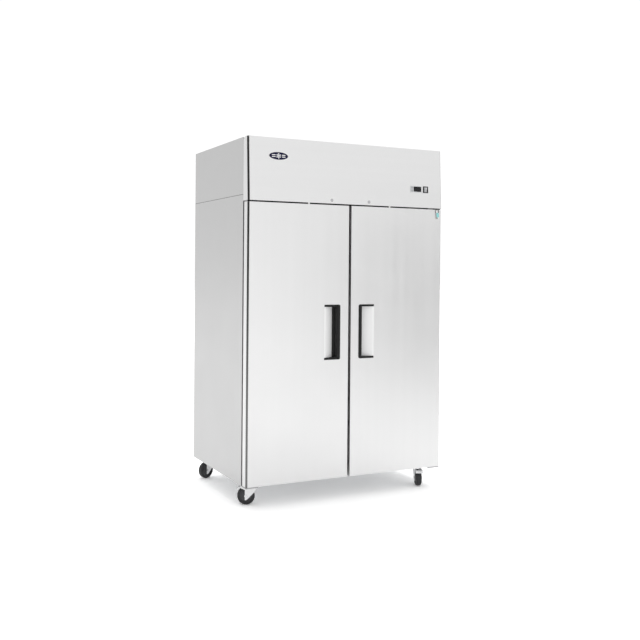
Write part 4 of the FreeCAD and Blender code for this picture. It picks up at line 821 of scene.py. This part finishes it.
def fin_pack(node, name, pitch, tube_rows, tube_columns):
    """Thin fins on rows of tubes with return bends at both ends, in the place of the finned block."""
    low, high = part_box(node)
    piece = Piece(name, "cabinet", "coil_fins", "coil_fins", "copper_tube", "galvanised_sheet")
    for x in (low.x, high.x - 1.5 * MM):
        piece.bar((x, low.y, low.z), (x + 1.5 * MM, high.y, high.z), 0.2 * MM, 2)
    for z in (low.z, high.z - 1.5 * MM):
        piece.bar((low.x, low.y, z), (high.x, high.y, z + 1.5 * MM), 0.2 * MM, 2)
    count = int((high.x - low.x) / pitch)
    for index in range(1, count):
        x = low.x + (high.x - low.x) * index / count
        piece.bar((x - 0.15 * MM, low.y + 1 * MM, low.z + 1.6 * MM),
                  (x + 0.15 * MM, high.y - 1 * MM, high.z - 1.6 * MM), 0)
    radius, bend = 4.5 * MM, 12 * MM
    rows = [low.z + (high.z - low.z) * (index + 0.5) / tube_rows for index in range(tube_rows)]
    columns = [low.y + (high.y - low.y) * (index + 0.5) / tube_columns for index in range(tube_columns)]
    for y in columns:
        for index, z in enumerate(rows):
            piece.tube([(low.x - 1 * MM, y, z), (high.x + 1 * MM, y, z)], radius, 1, 12)
            if index + 1 < len(rows):
                right = index % 2 == 0
                x = high.x if right else low.x
                out = bend if right else -bend
                after = rows[index + 1]
                path = [(x, y, z), (x + out, y, z), (x + out, y, after), (x, y, after)]
                piece.tube(rounded(path, bend, steps=6), radius, 1, 12)
    piece.done(node)


def compressor():
    """Drawn shell with a welded seam, base plate on rubber feet, terminal cover and copper stubs."""
    low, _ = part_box("compressor")
    axis = Vector((190 * MM, 150 * MM, low.z))
    body, belt = 78 * MM, 88 * MM
    piece = Piece("hermetic_compressor", "cabinet", "compressor_black", "compressor_black",
                  "wheel_rubber", "zinc_plate", "copper_tube")
    piece.frame = Matrix.Translation(axis)
    lower = [
        (body * math.sin(a), 44 * MM - 29 * MM * math.cos(a))
        for a in [math.pi / 2 * s / 8 for s in range(9)]
    ]
    upper = [((body - 1 * MM) * math.cos(a), 118 * MM + 58 * MM * math.sin(a))
             for a in [math.pi / 2 * s / 10 for s in range(11)]]
    seam = [(body, belt - 4 * MM), (body + 4 * MM, belt - 3.4 * MM), (body + 4 * MM, belt + 2.6 * MM),
            (body + 1.5 * MM, belt + 4 * MM), (body - 1 * MM, belt + 4.6 * MM)]
    piece.lathe(lower + seam + upper[:-1] + [(0, 176 * MM)], 0, 64)
    piece.plate(rectangle(-95 * MM, -60 * MM, 95 * MM, 60 * MM, 14 * MM), 8 * MM, 11 * MM, 2)
    foot = mm((0, 0), (9, 0), (10, 2), (7, 4), (10, 6), (10, 8), (6, 8), (6, 14), (0, 14))
    for x, y in four(82 * MM, 46 * MM):
        piece.frame = Matrix.Translation(axis + Vector((x, y, 0)))
        piece.lathe(foot, 1, 24)
        piece.plate(circle(5 * MM, steps=6), 14 * MM, 18 * MM, 2)
    piece.frame = place((low.x, axis.y, axis.z), (0, 1, 0), (0, 0, 1))
    piece.plate(rectangle(-30 * MM, 50 * MM, 30 * MM, 110 * MM, 6 * MM), 0, 42 * MM)
    clip, level = 31 * MM, 80 * MM
    piece.tube([(-clip, level, 30 * MM), (-clip, level, 0.2 * MM), (clip, level, 0.2 * MM),
                (clip, level, 30 * MM)], 1.2 * MM, 2, 8)
    suction = mm((0, 150), (7, 150), (7, 184), (5.4, 186), (0, 186))
    process = mm((0, 140), (4, 140), (4, 172), (3, 178), (0, 178))
    for x, stub, steps in ((-40 * MM, suction, 24), (45 * MM, process, 20)):
        piece.frame = Matrix.Translation((axis.x + x, axis.y - 20 * MM, axis.z))
        piece.lathe(stub, 3, steps)
    piece.done("compressor")


def condenser_guard():
    """Wire guard behind the condenser fan."""
    spot = Vector(JOINTS["condenser_fan_spin"]["pos_m"])
    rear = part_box("condenser_shroud")[1].y
    piece = Piece("condenser_guard", "cabinet", "coated_wire", "fan_black")
    piece.frame = along((spot.x, rear + 14 * MM, spot.z), (0, 1, 0))
    for ring in range(9):
        loop = circle((20 + 9.7 * ring) * MM, steps=48)
        piece.tube([(*point, 0) for point in loop], 1.1 * MM, 0, 8, True)
    for spoke in range(6):
        turn = math.tau * (spoke + 0.25) / 6
        way = Vector((math.cos(turn), math.sin(turn), 0))
        under = Vector((0, 0, -1.6 * MM))
        inner, outer = way * 18 * MM + under, way * 100 * MM + under
        foot = outer - Vector((0, 0, 13.6 * MM))
        piece.tube(rounded([inner, outer, foot], 4 * MM), 1.4 * MM, 0, 8)
    piece.done()


def wiring():
    """Black sleeved leads from the control box to the compressor, the fan and the lamps."""
    low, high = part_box("control_box")
    side, deck = high.x / MM, low.z / MM
    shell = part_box("compressor")[0].x / MM
    fan = Vector(JOINTS["condenser_fan_spin"]["pos_m"]) / MM
    start = side - 5
    motor, blower, lamps = -90, -150, -190
    routes = (
        ((start, motor, deck + 40), (start + 60, motor, deck + 38), (start + 120, motor, deck + 4),
         (-120, -60, deck + 4), (-90, 150, deck + 5), (-75, 150, deck + 60), (40, 150, deck + 92),
         (shell + 2, 150, deck + 92)),
        ((start, blower, deck + 40), (start + 60, blower, deck + 38), (start + 110, blower, deck + 4),
         (-100, blower, deck + 4), (-85, blower, deck + 60), (fan.x - 60, -132, fan.z - 40),
         (fan.x - 25, -132, fan.z - 10)),
        ((start, lamps, deck + 40), (start + 40, lamps, deck + 30), (start + 60, -240, deck + 6),
         (start + 70, -300, deck + 6), (start + 70, -322, deck - 1)),
    )
    piece = Piece("wiring", "cabinet", "fan_black", "fan_black", "box_grey")
    for route in routes:
        piece.tube(rounded(mm(*route), 40 * MM, steps=8), 3.2 * MM, 0, 12)
    relief = mm((3.3, 4), (6.5, 4), (6, 12), (3.3, 14))
    for y in (motor, blower, lamps):
        piece.frame = along(Vector((side - 3.1, y, deck + 40)) * MM, (1, 0, 0))
        piece.plate(circle(8 * MM, steps=6), 0, 4 * MM, 1)
        piece.lathe(relief, 1, 24, ring=True)
    piece.done()


def box_lid():
    """Lid screws and a pressed panel with a row of vent slots on the control box."""
    low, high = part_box("control_box")
    piece = Piece("control_box_lid", "cabinet", "box_grey", "box_grey", "zinc_plate")
    lid = Matrix.Translation(((low.x + high.x) / 2, (low.y + high.y) / 2, high.z))
    half = (high.x - low.x) / 2
    panel, corner = half - 20 * MM, half - 9 * MM
    vents = [rectangle(-40 * MM, y * MM, 40 * MM, (y + 4) * MM, 1.9 * MM) for y in (18, 28, 38, 48)]
    piece.frame = lid
    piece.plate(rectangle(-panel, -panel, panel, panel, 8 * MM), 0, 1.5 * MM, 0, vents)
    for x, y in four(corner, corner):
        piece.frame = lid @ Matrix.Translation((x, y, 0))
        piece.lathe(mm((0, 0), (4, 0), (3.6, 1.6), (0, 2.2)), 1, 20)
    piece.done()


def sleeve():
    """Foam sleeve on the cold suction line and bands round the filter drier."""
    boxes = islands("refrigerant_lines")
    drier, suction = boxes[0], boxes[3]
    piece = Piece("line_sleeve", "cabinet", "gasket_grey", GAP_SHADE_AND_BAND_BLACK, "zinc_plate")
    y, z = suction[1].y - 5 * MM, suction[1].z - 5 * MM
    piece.tube([(suction[0].x + 27 * MM, y, z), (suction[1].x - 28 * MM, y, z)], 9 * MM, 0, 20)
    centre = (drier[0] + drier[1]) / 2
    inner, outer, half = 16 * MM, 16.6 * MM, 4 * MM
    for share in (0.28, 0.72):
        y = drier[0].y + share * (drier[1].y - drier[0].y)
        piece.frame = along((centre.x, y, centre.z), (0, 1, 0))
        piece.lathe([(inner, -half), (outer, -half), (outer, half), (inner, half)], 1, 32, ring=True)
    piece.done()


def gland_nut():
    """Six flats and a thread on the cord's gland."""
    nut, body = islands("cable_gland")
    piece = Piece("gland_nut", "cabinet", "switch_black")
    centre = (nut[0] + nut[1]) / 2
    piece.frame = along((centre.x, nut[0].y, centre.z), (0, 1, 0))
    piece.plate(circle(15 * MM, steps=6), 0, nut[1].y - nut[0].y, 0, [circle(10 * MM)])
    piece.frame = along((centre.x, body[0].y, centre.z), (0, 1, 0))
    long = body[1].y - body[0].y
    teeth, root, crest, bore = 9, 9 * MM, 9.9 * MM, 4.5 * MM
    outside = []
    for index in range(teeth):
        at = long * index / teeth
        outside += [(root, at), (crest, at + long / teeth / 2)]
    piece.lathe(outside + [(crest, long), (bore, long), (bore, 0)], 0, 40, ring=True)
    piece.done("cable_gland")


# ---- casters -------------------------------------------------------------------------------------

def caster_trim():
    """Ball-race ring, hub caps and axle nuts of each caster."""
    cap = mm((14.5, 10), (31, 10), (30, 12.4), (24, 14.6), (15, 15.2), (14.5, 14))
    washer = mm((6.1, 20.6), (10.5, 20.6), (10.5, 21.8), (6.1, 21.8))
    race = mm((20, 112.4), (31, 112.4), (33, 114.6), (31, 118), (27.8, 119.4), (27.8, 113))
    for name, joint in JOINTS.items():
        if not name.startswith("roll_"):
            continue
        corner = name[len("roll_"):]
        hub, axle = Vector(joint["pos_m"]), Vector(joint["axis"])
        swivel = Vector(JOINTS[f"swivel_{corner}"]["pos_m"])
        caps = Piece(f"hub_caps_{corner}", f"wheel_{corner}", "wheel_rubber", WHEEL_CORE)
        nuts = Piece(f"axle_nuts_{corner}", f"caster_{corner}", "zinc_plate")
        for side in (-1, 1):
            caps.frame = along(hub, axle * side)
            caps.lathe(cap, 0, 40, ring=True)
            nuts.frame = along(hub, axle * side)
            nuts.lathe(washer, 0, 32, ring=True)
            nuts.plate(circle(9 * MM, steps=6), 21.8 * MM, 25.4 * MM)
        nuts.frame = Matrix.Translation((swivel.x, swivel.y, 0))
        nuts.lathe(race, 0, 48, ring=True)
        caps.done()
        nuts.done()


# ---- camera, floor and light ---------------------------------------------------------------------

EYE = (-2.4642, -4.2879, 1.3307)
YAW, PITCH, ROLL = 23.644, -0.09, 0.438


def camera():
    """A level view from the left front, with the framing moved by a small shift."""
    data = bpy.data.cameras.new("camera")
    data.sensor_width = 36
    data.lens = 43.99
    data.shift_x = 0.1406
    data.shift_y = -0.0781
    data.clip_end = 60
    yaw, pitch, roll = map(math.radians, (YAW, PITCH, ROLL))
    forward = Vector(
        (math.sin(yaw) * math.cos(pitch), math.cos(yaw) * math.cos(pitch), math.sin(pitch))
    )
    level = Vector((math.cos(yaw), -math.sin(yaw), 0))
    up = level.cross(forward)
    right = level * math.cos(roll) + up * math.sin(roll)
    above = up * math.cos(roll) - level * math.sin(roll)
    turn = Matrix((right, above, -forward)).transposed()
    eye = bpy.data.objects.new("camera", data)
    eye.matrix_world = Matrix.Translation(Vector(EYE)) @ turn.to_4x4()
    bpy.context.scene.collection.objects.link(eye)
    bpy.context.scene.camera = eye


def card(name, centre, width, height, facing, mat):
    """A flat rectangle of the studio whose face looks along the facing vector."""
    mesh = bpy.data.meshes.new(name)
    w, h = width / 2, height / 2
    mesh.from_pydata([(-w, -h, 0), (w, -h, 0), (w, h, 0), (-w, h, 0)], [], [(0, 1, 2, 3)])
    sheet = bpy.data.objects.new(name, mesh)
    sheet.matrix_world = along(centre, facing)
    mesh.materials.append(mat)
    bpy.context.scene.collection.objects.link(sheet)
    return sheet


def surroundings():
    """White behind the object; what lights it is brighter from the right than from the left."""
    world = bpy.data.worlds.new("studio")
    world.use_nodes = True
    bpy.context.scene.world = world
    world.node_tree.nodes.clear()
    seen = add(world, "ShaderNodeBackground", Color=(1, 1, 1, 1), Strength=1.05)
    lit = add(world, "ShaderNodeBackground")
    coords = add(world, "ShaderNodeTexCoord")
    split = add(world, "ShaderNodeSeparateXYZ")
    share = add(world, "ShaderNodeMath", operation="MULTIPLY_ADD")
    share.inputs[1].default_value = 0.5
    share.inputs[2].default_value = 0.5
    ramp = add(world, "ShaderNodeValToRGB")
    left, right = ramp.color_ramp.elements
    left.position, right.position = 0.1, 0.70
    beyond = ramp.color_ramp.elements.new(0.80)
    for stop, grey in ((left, 0.80), (right, 0.94), (beyond, 0.90)):
        stop.color = (grey, grey, grey, 1)
    path = add(world, "ShaderNodeLightPath")
    mix = add(world, "ShaderNodeMixShader")
    out = add(world, "ShaderNodeOutputWorld")
    wire(world, coords.outputs["Generated"], split.inputs[0])
    wire(world, split.outputs["X"], share.inputs[0])
    wire(world, share.outputs[0], ramp.inputs["Fac"])
    wire(world, ramp.outputs["Color"], lit.inputs["Color"])
    wire(world, path.outputs["Is Camera Ray"], mix.inputs["Fac"])
    wire(world, lit.outputs[0], mix.inputs[1])
    wire(world, seen.outputs[0], mix.inputs[2])
    wire(world, mix.outputs[0], out.inputs["Surface"])


def studio():
    """Pale floor, a soft high sun, and a flag and a grey card that only mirrors of them show."""
    bpy.context.scene.view_settings.view_transform = "Standard"
    surroundings()
    floor = shader("floor", (0.9, 0.9, 0.9), 0.9, Emission_Color=(1, 1, 1, 1), Emission_Strength=0.15)
    bsdf = floor.node_tree.nodes["Principled BSDF"]
    paper = add(floor, "ShaderNodeBsdfDiffuse", Color=(1.3, 1.3, 1.3, 1))
    glow = add(floor, "ShaderNodeEmission", Strength=0.11)
    both = add(floor, "ShaderNodeAddShader")
    wire(floor, paper.outputs[0], both.inputs[0])
    wire(floor, glow.outputs[0], both.inputs[1])
    path = add(floor, "ShaderNodeLightPath")
    mix = add(floor, "ShaderNodeMixShader")
    wire(floor, path.outputs["Is Camera Ray"], mix.inputs["Fac"])
    wire(floor, bsdf.outputs[0], mix.inputs[1])
    wire(floor, both.outputs[0], mix.inputs[2])
    wire(floor, mix.outputs[0], floor.node_tree.nodes["Material Output"].inputs["Surface"])
    card("floor", (0, 0, 0), 80, 80, (0, 0, 1), floor)
    black = shader("flag", (0.01, 0.01, 0.01), 0.9)
    flag = card("flag", (-4.0, -2.0, 2.6), 3.4, 4.4, (0.907, 0.42, 0), black)
    mid_grey = shader("grey_card", (0.6, 0.6, 0.6), 0.9)
    grey = card("grey_card", (3.1, -3.7, 0.9), 2.0, 1.9, (-0.6, 0.8, 0), mid_grey)
    for sheet in (flag, grey):
        sheet.visible_camera = False
        sheet.visible_shadow = False
        sheet.visible_diffuse = False
    sun = bpy.data.lights.new("sun", "SUN")
    sun.energy = 0.8
    sun.angle = math.radians(35)
    lamp = bpy.data.objects.new("sun", sun)
    lamp.matrix_world = along((0, 0, 4), (0.15, 0.45, 1))
    bpy.context.scene.collection.objects.link(lamp)


camera()
studio()
dress_nodes()
paint_edge_shade()
core_wheels()
for make in (
    badge, controller_face, rocker_lens, header_bumpers, lock_faces, gaskets, liner_pressings, keys,
    gap_shade_strips, screws, upright_slots, louvres, evaporator_guard, compressor, condenser_guard, wiring,
    box_lid, sleeve, gland_nut, caster_trim,
):
    make()
fin_pack("condenser_coil", "condenser_fins", 3.2 * MM, 9, 2)
fin_pack("evaporator_coil", "evaporator_fins", 5 * MM, 5, 4)
soften(
    ["door_left_skin", "door_right_skin", "header_panel", "side_panels", "machine_side_covers"],
    0.9 * MM,
)
soften(
    [name for name in NODES if name.startswith(("caster_fork", "brake_pedal", "door_hinges"))],
    0.8 * MM,
)
soften(["door_left_handle_frame", "door_right_handle_frame", "control_box"], 1.5 * MM)
soften(["rocker_bezel", "rocker", "button_up", "button_down", "controller", "front_frame"], 0.5 * MM)
